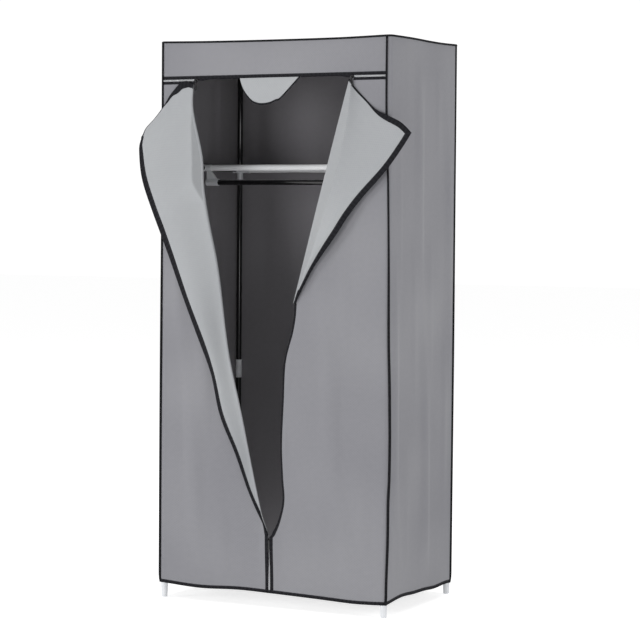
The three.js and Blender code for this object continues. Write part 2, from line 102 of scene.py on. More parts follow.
# %% Camera
camera_place = np.array([2768.2, -5521.6, 1091.4])
yaw, pitch, roll = np.radians([26.25, -2.63, 0.48])
focal_pixels = 2128.1
frame_pixels = 640
sensor_width = 36.0


def put_in_scene(name, data):
    """A new object in the scene that shows a mesh, a light or a camera."""
    made = bpy.data.objects.new(name, data)
    bpy.context.scene.collection.objects.link(made)
    return made


def turn_to(thing, right, up, back, place):
    """Places a camera or a light by its three axes and its place in metres."""
    placement = np.eye(4)
    placement[:3] = np.stack([right, up, back, place], 1)
    thing.matrix_world = Matrix(placement.tolist())


ahead = np.array([-np.sin(yaw) * np.cos(pitch), np.cos(yaw) * np.cos(pitch), np.sin(pitch)])
level_right = np.array([np.cos(yaw), np.sin(yaw), 0.0])
level_up = np.cross(level_right, ahead)
camera_right = np.cos(roll) * level_right + np.sin(roll) * level_up
camera_up = np.cos(roll) * level_up - np.sin(roll) * level_right

lens = bpy.data.cameras.new("photo_camera")
lens.sensor_width = sensor_width
lens.lens = sensor_width * focal_pixels / frame_pixels
lens.clip_end = 100
camera = put_in_scene("photo_camera", lens)
turn_to(camera, camera_right, camera_up, -ahead, camera_place * MM)
bpy.context.scene.camera = camera
print("lens", round(lens.lens, 1), "mm")

# %% [markdown]
# Every finish is a small tree of nodes. One function turns a hex colour into the linear
# values that Blender reckons with, and one adds a node, so each finish reads as a list.

# %% Colours and nodes
def linear(code):
    """sRGB hex as linear RGBA: c / 12.92 for dark values, else ((c + 0.055) / 1.055) ** 2.4."""
    share = np.array([int(code[k:k + 2], 16) for k in (1, 3, 5)]) / 255
    dark = share / 12.92
    bright = ((share + 0.055) / 1.055) ** 2.4
    return (*np.where(share <= 0.04045, dark, bright).tolist(), 1.0)


def set_sockets(node, sockets):
    """Gives a node's inputs their values, or links them to other nodes' outputs."""
    for socket, value in sockets.items():
        if isinstance(value, bpy.types.NodeSocket):
            node.id_data.links.new(value, node.inputs[socket])
        else:
            node.inputs[socket].default_value = value


def add_node(tree, kind, sockets=None, **settings):
    """Adds a node. settings are its own properties; sockets hold values or other nodes' outputs."""
    made = tree.nodes.new("ShaderNode" + kind)
    for name, value in settings.items():
        setattr(made, name, value)
    set_sockets(made, sockets or {})
    return made


print("mid grey in linear light", round(linear("#808080")[0], 3))

# %% [markdown]
# The object stands on a plain white floor against white. One soft light in front and a
# strong one far to the left shape the folds, small ones low and at the right fill the
# open side, a wide one overhead whitens the floor, and an even sky fills the shadows.

# %% Floor, sky and lights
floor_half = 30.0
floor_mesh = bpy.data.meshes.new("floor")
floor_corners = [(-1, -1, 0), (1, -1, 0), (1, 1, 0), (-1, 1, 0)]
floor_mesh.from_pydata((np.array(floor_corners) * floor_half).tolist(), [], [(0, 1, 2, 3)])
put_in_scene("floor", floor_mesh)

paint = bpy.data.materials.new("backlit_white_acrylic")
paint.use_nodes = True
set_sockets(paint.node_tree.nodes["Principled BSDF"], {
    "Base Color": linear("#EFEFEF"),
    "Roughness": 0.9,
    "Specular IOR Level": 0.1,
    "Emission Color": (1, 1, 1, 1),
    "Emission Strength": 0.7,
})
floor_mesh.materials.append(paint)

sky = bpy.data.worlds.new("studio")
bpy.context.scene.world = sky
sky.use_nodes = True
sky.node_tree.nodes.clear()
seen = add_node(sky.node_tree, "LightPath")
strength = add_node(sky.node_tree, "MapRange", {
    "Value": seen.outputs["Is Camera Ray"], "To Min": 0.33, "To Max": 1.05,
})
backdrop = add_node(sky.node_tree, "Background", {
    "Color": (1, 1, 1, 1), "Strength": strength.outputs["Result"],
})
add_node(sky.node_tree, "OutputWorld", {"Surface": backdrop.outputs["Background"]})


def unit(vectors):
    """Vectors scaled to length 1."""
    return vectors / np.maximum(np.linalg.norm(vectors, axis=-1, keepdims=True), 1e-9)


def softbox(name, place, aim, width, power):
    """A square area light at a place, facing a point, in metres and watts."""
    light = bpy.data.lights.new(name, "AREA")
    light.size = width
    light.energy = power
    back = unit(np.subtract(place, aim))
    side = unit(np.cross(z_axis, back))
    turn_to(put_in_scene(name, light), side, np.cross(back, side), back, place)


softbox("front_softbox", (-0.9, -6.6, 1.7), (0, 0, 1.0), 1.8, 92)
softbox("left_softbox", (-6.5, -6.0, 2.4), (0, 0, 1.0), 2.4, 250)
softbox("low_softbox", (3.4, -5.4, 0.9), (0, 0, 1.0), 2.0, 22)
softbox("side_softbox", (5.8, -0.4, 2.2), (0.35, 0, 0.9), 2.2, 72)
softbox("top_softbox", (0.0, 0.3, 5.5), (0, 0.31, 0), 4.0, 80)
bpy.context.scene.view_settings.view_transform = "Standard"
bpy.context.scene.view_settings.look = "None"
print(len(bpy.data.lights), "softboxes")

# %% [markdown]
# The cover is spun-bonded polypropylene: endless plastic fibres laid in a mat and
# pressed together at rows of small points. It's matt, slightly cloudy where the mat is
# thicker, and dimpled at the bond points. The real dimples are about 1.5 mm apart, too
# fine to show here, so they are drawn 5 mm apart. The pattern follows the cloth through
# its own UV map, whose units are metres along the cloth.

# %% Cloth finishes
dimple_spacing = 5.0  # mm, drawn coarse; about 1.5 on the real cloth
fibre_cloud = 14.0  # mm, size of a thicker patch of the fibre mat
tone_drift = 320.0  # mm, slow change of tone along the roll of cloth


def shaded_material(name):
    """A new material with only a Principled shader and its output."""
    made = bpy.data.materials.new(name)
    made.use_nodes = True
    tree = made.node_tree
    tree.nodes.clear()
    shader = add_node(tree, "BsdfPrincipled")
    add_node(tree, "OutputMaterial", {"Surface": shader.outputs["BSDF"]})
    return made, tree, shader


def nonwoven_cloth(name, thin, thick, dimple_tone):
    """Spun-bonded cloth between two tones: cloudy fibre mat, slow drift, rows of pressed dimples."""
    made, tree, shader = shaded_material(name)
    place = add_node(tree, "TexCoord").outputs
    cloud = add_node(tree, "TexNoise", {
        "Vector": place["UV"], "Scale": 1 / (fibre_cloud * MM), "Detail": 6.0, "Roughness": 0.62,
    }).outputs["Fac"]
    drift = add_node(tree, "TexNoise", {
        "Vector": place["Object"], "Scale": 1 / (tone_drift * MM), "Detail": 1.0,
    }).outputs["Fac"]
    blend = add_node(tree, "Math", {0: cloud, 1: 0.3, 2: drift}, operation="MULTIPLY_ADD")
    tone = add_node(tree, "MapRange", {
        "Value": blend.outputs["Value"], "From Min": 0.42, "From Max": 0.88,
    })
    mat_colour = add_node(tree, "Mix", {
        "Factor": tone.outputs["Result"], "A": linear(thin), "B": linear(thick),
    }, data_type="RGBA")
    rows = add_node(tree, "Mapping", {"Vector": place["UV"], "Rotation": (0, 0, np.radians(45))})
    dots = add_node(tree, "TexVoronoi", {
        "Vector": rows.outputs["Vector"], "Scale": 1 / (dimple_spacing * MM), "Randomness": 0.0,
    }, voronoi_dimensions="2D")
    dimple = add_node(tree, "MapRange", {
        "Value": dots.outputs["Distance"], "From Min": 0.12, "From Max": 0.42,
    }, interpolation_type="SMOOTHSTEP").outputs["Result"]
    pressed = add_node(tree, "Mix", {
        "Factor": dimple, "A": (dimple_tone, dimple_tone, dimple_tone, 1), "B": (1, 1, 1, 1),
    }, data_type="RGBA")
    colour = add_node(tree, "Mix", {
        "Factor": 1.0, "A": mat_colour.outputs["Result"], "B": pressed.outputs["Result"],
    }, data_type="RGBA", blend_type="MULTIPLY")
    height = add_node(tree, "Math", {0: cloud, 1: dimple}, operation="ADD")
    relief = add_node(tree, "Bump", {
        "Height": height.outputs["Value"], "Strength": 0.3, "Distance": 0.09 * MM,
    })
    set_sockets(shader, {
        "Base Color": colour.outputs["Result"],
        "Normal": relief.outputs["Normal"],
        "Roughness": 0.88,
        "Specular IOR Level": 0.35,
        "Sheen Weight": 0.12,
        "Sheen Roughness": 0.5,
    })
    return made


outer_cloth = nonwoven_cloth("grey_spunbond_cloth", "#7A7A7F", "#858589", 0.93)
lining_cloth = nonwoven_cloth("pale_spunbond_back", "#949699", "#9EA0A2", 0.95)
# inner face of the walls and roof: the same pale back as the lining, painted darker as the shade inside the
# wardrobe
lining_painted_shade = nonwoven_cloth("spunbond_back_painted_shade", "#787679", "#838185", 0.95)
shelf_fabric = nonwoven_cloth("pale_shelf_cloth", "#E6E7E9", "#EEEFF1", 0.97)
print("dimples every", dimple_spacing, "mm")

# %% [markdown]
# The edges are bound with black polyester tape. It's woven, with fine ribs across it, and
# the faint sheen on each rib is painted into its colour as a lighter crown. Real ribs are
# 0.5 mm wide; here they're drawn 2 mm wide.
# The hard parts are painted, cast or moulded, and one fine noise gives each its surface.

# %% Tape, thread and zip finishes
tape_rib = 2.0  # mm, drawn coarse


def two_tones(tree, shader, pattern, low, high, depth, sockets):
    """Lets one pattern mix two close colours and raise a relief of some depth in mm."""
    colour = add_node(tree, "Mix", {
        "Factor": pattern, "A": linear(low), "B": linear(high),
    }, data_type="RGBA")
    relief = add_node(tree, "Bump", {"Height": pattern, "Strength": 0.3, "Distance": depth * MM})
    looks = {"Base Color": colour.outputs["Result"], "Normal": relief.outputs["Normal"]}
    set_sockets(shader, {**looks, **sockets})


def woven_tape(name, base, rib_crown_sheen, roughness):
    """Ribbed tape: bands along the UV length, each rib's crown painted lighter as sheen."""
    made, tree, shader = shaded_material(name)
    ribs = add_node(tree, "TexWave", {
        "Vector": add_node(tree, "TexCoord").outputs["UV"],
        "Scale": 1 / (tape_rib * MM) / 20,
        "Distortion": 0.6,
        "Detail": 1.0,
    }, bands_direction="Y")
    # the rib crowns' lighter tone is painted sheen
    two_tones(tree, shader, ribs.outputs["Fac"], base, rib_crown_sheen, 0.15, {
        "Roughness": roughness, "Specular IOR Level": 0.12,
    })
    return made


def speckled(name, low, high, grain, roughness, coat=0.0, relief_mm=0.05):
    """A moulded, drawn or painted finish: two close tones and a fine relief from one noise."""
    made, tree, shader = shaded_material(name)
    noise = add_node(tree, "TexNoise", {
        "Vector": add_node(tree, "TexCoord").outputs["Object"],
        "Scale": 1 / (grain * MM),
        "Detail": 3.0,
    })
    two_tones(tree, shader, noise.outputs["Fac"], low, high, relief_mm, {
        "Roughness": roughness, "Coat Weight": coat, "Coat Roughness": 0.15,
    })
    return made


binding_tape = woven_tape("black_polyester_tape", "#141417", "#1D1D21", 0.8)
piping_tape = woven_tape("black_cord_piping", "#101012", "#18191C", 0.8)
# sewing thread: slightly lighter and shinier than the tape, so the seams can be read
thread = speckled("grey_polyester_thread", "#2E2F33", "#45464B", 1.0, 0.55)
# nylon coil: pale monofilament with a soft plastic gloss
zip_nylon = speckled("grey_nylon_coil", "#B2B3B6", "#C2C3C6", 2.0, 0.4)
# die-cast zinc under black lacquer: the lacquer is what is seen, dark with small sharp glints
zip_zinc = speckled("lacquered_zinc", "#0C0C0E", "#141416", 1.5, 0.18, relief_mm=0.02)
# powder-coated steel tube: near black, glossy, with a faint orange-peel relief
tube_enamel = speckled("black_powder_coat", "#050506", "#0B0B0D", 1.6, 0.2, coat=0.6)
# injection-moulded polypropylene: pale cool grey, satin, with slight flow clouding
moulded_plastic = speckled("pale_moulded_polypropylene", "#CDCFD2", "#D8DADD", 6.0, 0.42)
print(len(bpy.data.materials), "materials")

# %% [markdown]
# Every piece below is one of a few kinds of shell: a sheet with two faces and a rim, a row
# of loops with capped ends, or a small shape repeated along a seam. A shell is a set of
# points in millimetres, its faces, a UV for each face corner and a finish for each face.

# %% Shells
def grid_quads(rows, columns, ring_rows=False, ring_columns=False):
    """Quads of a grid of points held row by row; a ring joins its last row or column to the first."""
    down = np.arange(rows if ring_rows else rows - 1)
    over = np.arange(columns if ring_columns else columns - 1)
    j, i = (part.ravel() for part in np.meshgrid(down, over, indexing="ij"))
    here, below = j * columns, (j + 1) % rows * columns
    after = (i + 1) % columns
    return np.stack([here + i, here + after, below + after, below + i], -1)


def lengths_along(points, axis):
    """Running length along one axis of a grid of points, averaged over the other."""
    steps = np.linalg.norm(np.diff(points, axis=axis), axis=-1)
    mean = steps.mean(axis=1 - axis) if points.ndim == 3 else steps
    return np.concatenate([[0], np.cumsum(mean)])


cloth_thickness = 0.8


def sheet_shell(face, inside=1):
    """A closed sheet: a grid of points on its outer face, rows upwards and columns to the right as
    seen from outside, the same grid one thickness behind, and a rim between them."""
    rows, columns = face.shape[:2]
    out = unit(np.cross(np.gradient(face, axis=1), np.gradient(face, axis=0)))
    behind = face - out * cloth_thickness
    points = np.concatenate([face.reshape(-1, 3), behind.reshape(-1, 3)])
    count = rows * columns
    quads = grid_quads(rows, columns)
    index = np.arange(count).reshape(rows, columns)
    edge = np.concatenate([index[0, :-1], index[:-1, -1], index[-1, :0:-1], index[:0:-1, 0]])
    following = np.roll(edge, -1)
    rim = np.stack([edge, edge + count, following + count, following], -1)
    faces = np.concatenate([quads, quads[:, ::-1] + count, rim])
    u, v = np.meshgrid(lengths_along(face, 1), lengths_along(face, 0))
    uv = np.tile(np.stack([u, v], -1).reshape(-1, 2), (2, 1))[faces.ravel()]
    looks = np.repeat([0, inside, 0], [len(quads), len(quads), len(rim)])
    return {"points": points, "faces": faces.tolist(), "uv": uv, "looks": looks}


def loop_shell(loops, ring=False, look=0):
    """A closed shell through a row of loops, with a cap on each end unless the row is a ring. Its
    faces are turned over if the volume they enclose comes out negative."""
    count, around = loops.shape[:2]
    points = loops.reshape(-1, 3)
    quads = grid_quads(count, around, ring, True)
    middle = points.mean(axis=0)
    a, b, c, d = (points[quads[:, k]] - middle for k in range(4))
    volume = (a * np.cross(b, c)).sum() + (a * np.cross(c, d)).sum()
    girth = np.linalg.norm(np.roll(loops, -1, axis=1) - loops, axis=-1).mean(axis=0)
    u = np.concatenate([[0], np.cumsum(girth)])
    v = lengths_along(loops, 0)
    v = np.append(v, v[-1] + (np.linalg.norm(loops[0] - loops[-1], axis=-1).mean() if ring else 0))
    j, i = quads[:, 0] // around, quads[:, 0] % around
    corners = [(0, 0), (1, 0), (1, 1), (0, 1)]
    uv = np.stack([np.stack([u[i + over], v[j + on]], -1) for over, on in corners], 1)
    caps = [] if ring else [np.arange(around)[::-1], np.arange(around) + (count - 1) * around]
    if volume < 0:
        quads, uv = quads[:, ::-1], uv[:, ::-1]
        caps = [cap[::-1] for cap in caps]
    cap_uv = [[[u[k % around], 0.0]] for cap in caps for k in cap]
    faces = quads.tolist() + [cap.tolist() for cap in caps]
    return {
        "points": points,
        "faces": faces,
        "uv": np.concatenate([uv.reshape(-1, 2), *cap_uv]),
        "looks": np.full(len(faces), look),
    }


def join_shells(shells):
    """One shell that holds several."""
    whole = {key: np.concatenate([shell[key] for shell in shells]) for key in ("points", "uv", "looks")}
    starts = np.cumsum([0] + [len(shell["points"]) for shell in shells[:-1]]).tolist()
    numbered = zip(starts, shells)
    whole["faces"] = [[start + k for k in face] for start, shell in numbered for face in shell["faces"]]
    return whole


def soften(mesh, sharp):
    """Shades a mesh smooth but for edges sharper than an angle in degrees."""
    mesh.polygons.foreach_set("use_smooth", np.ones(len(mesh.polygons), bool))
    mesh.set_sharp_from_angle(angle=np.radians(sharp))


def build(name, shell, finishes, sharp=40):
    """Makes a mesh object at the origin from a shell in millimetres."""
    mesh = bpy.data.meshes.new(name)
    mesh.from_pydata((shell["points"] * MM).tolist(), [], shell["faces"])
    for finish in finishes:
        mesh.materials.append(finish)
    mesh.polygons.foreach_set("material_index", shell["looks"].astype(np.int32))
    layer = mesh.uv_layers.new(name="cloth")
    layer.data.foreach_set("uv", (shell["uv"] * MM).astype(np.float32).ravel())
    soften(mesh, sharp)
    mesh.update()
    return put_in_scene(name, mesh)


def settle(piece, body, slot, *nodes):
    """Lets a finished piece ride on a body, or bakes its place in where the body is not a name, and hides
    the frame nodes it stands for. slot is not used.
    """
    if isinstance(body, str):
        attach(piece, body)
    else:
        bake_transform(piece)
    if nodes:
        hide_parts(*nodes)
    print(piece.name, len(piece.data.polygons), "faces")
    return piece


def put_piece(name, shell, finishes, slot, *nodes, body="root", sharp=40):
    """Makes a piece from a shell and settles it."""
    return settle(build(name, shell, finishes, sharp), body, slot, *nodes)


# %% [markdown]
# The frame is drawn steel tube with powder coat: each tube is a plain pipe whose ends sit
# inside the sockets. A turned profile gives a smooth pipe with a softly rounded rim, and
# the same turning makes sleeves and sockets.

# %% Turned shapes and tubes
def full_turn(count):
    """Equal angles once round a circle."""
    return np.linspace(0, 2 * np.pi, count, endpoint=False)


def turned(profile, start, direction, sides=32, ring=False):
    """A profile of [radius, height] rows carried round an axis: each row becomes a loop. A ring
    profile closes on itself, as a pipe's wall does."""
    radius, height = np.array(profile, float).T[:, :, None, None]
    along = np.array(direction, float)
    first = unit(np.cross(z_axis if abs(along[2]) < 0.9 else x_axis, along))
    second = np.cross(along, first)
    turn = full_turn(sides)[:, None]
    circle = np.cos(turn) * first + np.sin(turn) * second
    return loop_shell(radius * circle + height * along + start, ring)


def both_ends(half, length):
    """A profile whose second half mirrors the first at the far end of a length."""
    return half + [[radius, length - height] for radius, height in half[::-1]]


def pipe_profile(outer, inner, length, rim):
    """Wall of a pipe with its four rims rounded off."""
    return both_ends([
        [inner, rim], [inner + rim * 0.3, rim * 0.3], [inner + rim, 0],
        [outer - rim, 0], [outer - rim * 0.3, rim * 0.3], [outer, rim],
    ], length)


tube_wall = 0.6
tube_rim = 0.2
tube_names = [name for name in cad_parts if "sleeve" not in name and "bracket" not in name]
for name in sorted(name for name in tube_names if "tube" in name or "post" in name or "rail" in name):
    low, high = box_mm(name)
    axis = int(np.argmax(high - low))
    start = (low + high) / 2
    start[axis] = low[axis]
    wall = pipe_profile(tube_radius, tube_radius - tube_wall, high[axis] - low[axis], tube_rim)
    tube = turned(wall, start, np.eye(3)[axis], ring=True)
    put_piece("enamelled_" + name, tube, [tube_enamel], "tube_steel", name)

# %% [markdown]
# The connectors are injection moulded. Each is a set of round sockets that meet at the
# joint, so each socket is turned and then united with the others by a boolean, which
# leaves one clean skin. A raised collar stiffens the mouth of a socket. At the shelf the
# upper posts slip over a peg, so only a low collar of the joint shows above the shelf.

# %% Moulded connectors
def combine(piece, tools, operation, sharp):
    """Unites closed pieces with one, or cuts them out of it, and keeps only the resulting mesh."""
    for tool in tools:
        step = piece.modifiers.new(operation, "BOOLEAN")
        step.operation = operation
        step.solver = "MANIFOLD"
        step.object = tool
    piece.data = bpy.data.meshes.new_from_object(piece.evaluated_get(bpy.context.evaluated_depsgraph_get()))
    piece.modifiers.clear()
    for tool in tools:
        bpy.data.objects.remove(tool)
    soften(piece.data, sharp)


def fuse(name, shells, finishes, sharp=30):
    """Unites closed shells into one skin."""
    piece, *others = [build(f"{name}_part_{k}", shell, finishes) for k, shell in enumerate(shells)]
    combine(piece, others, "UNION", sharp)
    piece.name = name
    return piece


socket_radius = 10.0
bore_radius = tube_radius + 0.3
socket_reach = 36.0
tube_stop = 11.0
collar_length = 6.0
collar_rise = 0.6
shoulder = 14.0  # the shelf joints' collar, on which the upper posts stand
peg_radius = tube_radius - tube_wall - 0.3
foot_tip_radius = 8.6
axis_gap = 0.4  # a turned solid's profile starts just off its axis


def socket(centre, direction, reach=socket_reach, start=-2.0, stop=tube_stop):
    """A round socket with a blind bore and a raised collar at its mouth."""
    outer, rise = socket_radius, collar_rise
    return turned([
        [axis_gap, start], [outer, start], [outer, reach - collar_length - rise],
        [outer + rise, reach - collar_length], [outer + rise, reach - 0.5],
        [outer + rise - 0.5, reach], [bore_radius + 0.4, reach], [bore_radius, reach - 0.5],
        [bore_radius, stop - 0.3], [axis_gap, stop - 0.3],
    ], centre, direction)


def socket_directions(node, centre):
    """Unit directions in which a connector reaches from its centre, from its own corners."""
    reach = np.abs(box_mm(node) - centre)
    return [
        sign * np.eye(3)[axis]
        for end, sign in enumerate((-1, 1))
        for axis in range(3) if reach[end, axis] > socket_reach - 1
    ]


# what stands in place of a socket: its heading along z and its profile
plugs = {
    "foot": (-1.0, [
        [axis_gap, -2], [socket_radius, -2], [socket_radius, base_level - 38],
        [foot_tip_radius, base_level - 1.2], [foot_tip_radius - 1.2, base_level], [axis_gap, base_level],
    ]),
    "shelf": (1.0, [
        [axis_gap, -2], [socket_radius, -2], [socket_radius, shoulder - 0.6],
        [socket_radius - 0.6, shoulder], [peg_radius, shoulder], [peg_radius, socket_reach - 1.5],
        [peg_radius - 1.5, socket_reach], [axis_gap, socket_reach],
    ]),
    "top": (None, []),
}
levels = {"foot": base_level, "shelf": shelf_level, "top": middle_mm("top_tube_front")[2]}
posts = {
    f"{end}_{side}": (x, y)
    for end, y in (("front", front_post), ("back", rear_post))
    for side, x in (("left", -post_x), ("right", post_x))
}
for kind, level in levels.items():
    heading, plug = plugs[kind]
    for post, (x, y) in posts.items():
        node = f"{kind}_connector_{post}"
        centre = np.array([x, y, level])
        ways = [way for way in socket_directions(node, centre) if way[2] != heading]
        shells = [socket(centre, way) for way in ways]
        if plug:
            shells.append(turned(plug, centre, [0, 0, heading]))
        settle(fuse("moulded_" + node, shells, [moulded_plastic]), "root", "connector_plastic", node)

for post in posts:
    node = f"post_sleeve_{post}"
    low, high = box_mm(node)
    foot = np.append((low + high)[:2] / 2, low[2])
    reach = high[2] - low[2]
    outer = (high[0] - low[0]) / 2
    wall = both_ends([
        [bore_radius, 0.4], [bore_radius + 0.4, 0], [outer, 0], [outer + 0.4, 0.5],
        [outer + 0.4, 4], [outer, 4.6], [outer, reach / 2 - 1.5], [outer + 0.5, reach / 2 - 0.8],
    ], reach)
    sleeve = turned(wall, foot, z_axis, ring=True)
    put_piece("moulded_" + node, sleeve, [moulded_plastic], "connector_plastic", node)

# %% [markdown]
# A bracket slides on each side tube. It holds the middle shelf tube level with it and, on
# a web that slants outwards, the hanging rail below. Ring, web and two sockets are united,
# and then the three bores are cut, so that the web stays clear of the tubes.

# %% Rail brackets
rail_level = middle_mm("hanging_rail")[2]
bracket_reach = 24.0
rail_socket_reach = 49.0
web_half = 4.0
web_edge = bore_radius + 1.0  # the web starts inside the ring's wall


def chamfered_plate(outline, middle, low, high, bevel, across, up, along):
    """A flat outline made a plate between two heights, its rims drawn in by a small bevel. The
    outline's two numbers run along across and up, and the height along the third vector."""
    flat = np.array(outline, float)
    centre = flat.mean(axis=0)
    rim = 1 - bevel / np.abs(flat - centre).max()
    levels = [[low, rim], [low + bevel, 1], [high - bevel, 1], [high, rim]]
    height, share = np.array(levels).T[:, :, None, None]
    drawn = centre + (flat - centre) * share
    return loop_shell(middle + drawn[..., :1] * across + drawn[..., 1:] * up + height * along)


drop = rail_level - shelf_level
web = [
    [web_edge, -2], [web_edge, drop], [rail_socket_reach - 1, drop],
    [rail_socket_reach - 1, drop + 4], [bracket_reach - 1, -socket_radius + 2], [bracket_reach - 1, -2],
]
ring = both_ends([
    [bore_radius, -12.5], [bore_radius + 0.5, -13], [bore_radius + 1.5, -13], [bore_radius + 2, -12.5],
], 0)
side_bore = [[axis_gap, -20], [bore_radius, -20], [bore_radius, 20], [axis_gap, 20]]
end_bore = [[axis_gap, tube_stop - 0.3], [bore_radius, tube_stop - 0.3], [bore_radius, 60], [axis_gap, 60]]
for side, inward in (("left", 1), ("right", -1)):
    node = f"rail_bracket_{side}"
    centre = np.array([-inward * post_x, middle_mm("hanging_rail")[1], shelf_level])
    below = centre + drop * z_axis
    out = inward * x_axis
    piece = fuse("moulded_" + node, [
        turned(ring, centre, y_axis, ring=True),
        socket(centre, out, bracket_reach, bore_radius + 0.8, bore_radius + 2.3),
        socket(below, out, rail_socket_reach, web_edge, tube_stop + 0.4),
        chamfered_plate(web, centre, -web_half, web_half, 0.8, out, z_axis, y_axis),
    ], [moulded_plastic])
    bores = [(side_bore, centre, y_axis), (end_bore, below, out), (end_bore, centre, out)]
    combine(piece, [build("drill", turned(*bore), [moulded_plastic]) for bore in bores], "DIFFERENCE", 30)
    settle(piece, "root", "connector_plastic", node)

# %% [markdown]
# Each wall of the cover is one sheet hung from the top. In plan a wall runs straight
# between the posts and turns half way round each corner, where it meets the
# next wall under a cord of piping. Soft swells come from sums of slow sine waves, and the
# hem and top edge follow gentle curves read off the photograph in millimetres.

# %% Walls of the cover
# each wall's way across and way out in plan, half its straight run and the posts' distance, mm
wall_names = {
    "front": ((1, 0), (0, -1), post_x, half_depth),
    "right": ((0, 1), (1, 0), half_depth, post_x),
    "back": ((-1, 0), (0, 1), post_x, half_depth),
    "left": ((0, -1), (-1, 0), half_depth, post_x),
}
next_wall = {"front": "right", "right": "back", "back": "left", "left": "front"}
corner_girth = corner_radius * np.pi / 4
still_band = 160  # mm by the hem and by the crown, in which the swells fade
# [place across the wall, from -1 at its left to 1 at its right, rise of the hem in mm]
hem_waves = {
    "front": [
        [-1, 1], [-0.63, -5.5], [-0.28, -0.5], [0, -2], [0.42, -6], [0.72, -9.5], [0.86, -8.5], [1, -6],
    ],
    "right": [[-1, -6], [-0.55, 1], [-0.16, -3], [0.16, -5], [0.48, -9.5], [0.8, -8], [1, -9]],
    "back": [[-1, -8], [-0.4, 1], [0.2, -4], [0.6, 2], [1, -3]],
    "left": [[-1, -3], [-0.4, 3], [0.2, 4], [0.7, -1], [1, 1]],
}
top_waves = {
    "front": [[-1, 4.5], [-0.6, 1.5], [0, -0.5], [0.6, -0.5], [1, 2.5]],
    "right": [[-1, 2.5], [-0.35, 5.5], [0.2, 6], [0.6, 7.5], [1, 11]],
    "back": [[-1, 11], [-0.6, 4], [0.1, 2], [0.6, 2.5], [1, 3]],
    "left": [[-1, 3], [-0.2, 3.5], [0.4, 3], [1, 4.5]],
}
# [share up the seam, how far it wanders from the post's corner towards the right-hand wall, mm]
seam_drifts = {
    "right": [
        [0, 1], [0.04, 1.5], [0.11, 4.5], [0.18, 5], [0.22, 8], [0.29, 9], [0.32, 8], [0.39, 5.5],
        [0.46, 2], [0.6, 0], [0.745, -3.5], [0.84, -8], [0.9, -9.4], [1, -9.4],
    ],
    "back": [[0, -10], [0.3, -9], [0.7, -9], [1, -11]],
    "left": [[0, 0], [0.4, -1.5], [0.8, 1], [1, 0]],
    "front": [[0, 0], [0.25, 0], [0.5, 2], [0.75, 3], [1, 3]],
}
# [height of a swell in mm, waves across the wall, waves up the wall, phase]
wall_swells = {
    "front": [[3.6, 3.3, 0.7, 0.9], [2.8, 5.1, -1.3, 2.2], [1.2, 9.3, 2.1, 0.4]],
    "right": [[4.2, 2.3, 0.5, 0.2], [3.0, 3.9, -0.8, 1.0], [1.4, 6.9, 1.7, 2.6]],
    "back": [[3.6, 3.3, 0.8, 2.0], [2.2, 5.6, -1.4, 0.5], [0.9, 8.2, 1.9, 1.1]],
    "left": [[3.0, 2.8, -0.6, 1.4], [2.2, 4.1, 1.1, 0.3], [0.9, 6.7, -1.8, 2.1]],
}


def follow(rows, where, column=1):
    """Smooth curve through rows of [place, value, ...]: between two rows a cubic whose slope at a
    row is that of the line between its neighbours."""
    table = np.array(rows, float)
    place, value = table[:, 0], table[:, column]
    last = len(place) - 1
    before = np.maximum(np.arange(last + 1) - 1, 0)
    after = np.minimum(np.arange(last + 1) + 1, last)
    slope = (value[after] - value[before]) / (place[after] - place[before])
    k = np.clip(np.searchsorted(place, where, side="right") - 1, 0, last - 1)
    step = place[k + 1] - place[k]
    t = np.clip((where - place[k]) / step, 0, 1)
    ease = t * t * (3 - 2 * t)
    lead = t * (1 - t) ** 2 * step * slope[k]
    trail = t * t * (t - 1) * step * slope[k + 1]
    return value[k] * (1 - ease) + value[k + 1] * ease + lead + trail


def smooth(value, low, high):
    """0 below low, 1 above high, and an S-curve between."""
    t = np.clip((value - low) / (high - low), 0, 1)
    return t * t * (3 - 2 * t)


def wall_half(wall):
    """Half the girth of a wall, from its middle to the corners of the posts."""
    return wall_names[wall][2] + corner_girth


def wall_rise(level):
    """Share of the way from the hem to the crown."""
    return (level - hem_level) / (crown - hem_level)


def wall_girth(wall, share, level):
    """Girth from a wall's middle, from seam to seam as share goes from -1 to 1. The seams wander
    a little round the corners on their way up."""
    start = -wall_half(wall) + follow(seam_drifts[wall], wall_rise(level))
    end = wall_half(wall) + follow(seam_drifts[next_wall[wall]], wall_rise(level))
    return start + (end - start) * (share + 1) / 2


def wall_point(wall, girth, level, forward=0.0):
    """Point of a wall at a girth from its middle and a level, moved out by forward: straight
    between the posts, then round a post's corner by the girth left over."""
    across, out, straight, depth = wall_names[wall]
    angle = np.clip((np.abs(girth) - straight) / corner_radius, 0, np.pi / 2)
    reach = corner_radius + forward
    along = np.clip(girth, -straight, straight) + np.sign(girth) * np.sin(angle) * reach
    away = depth + np.cos(angle) * reach
    x = along * across[0] + away * out[0]
    y = along * across[1] + away * out[1] + mid_depth
    return np.stack(np.broadcast_arrays(x, y, level), -1)


def swell(wall, girth, level):
    """Slow sine waves added up. Only what swells outwards is kept, as log(1 + exp(waves)), since
    the tubes stand close behind the cloth, and it fades out at the seams."""
    share = girth / wall_half(wall)
    waves = sum(
        height * np.sin(2 * np.pi * (across * share / 2 + upward * wall_rise(level)) + phase)
        for height, across, upward, phase in wall_swells[wall]
    )
    free = 1 - smooth(np.abs(share), 0.8, 0.99)
    clear = smooth(level, hem_level, hem_level + still_band)
    clear = clear * (1 - smooth(level, crown - still_band, crown - 10))
    return np.log1p(np.exp(waves)) * free * clear


def hem_line(wall, share):
    """Level of a wall's hem."""
    return hem_level + follow(hem_waves[wall], share)


def top_line(wall, share):
    """Level of a wall's top edge."""
    return crown - 1.5 + follow(top_waves[wall], share)


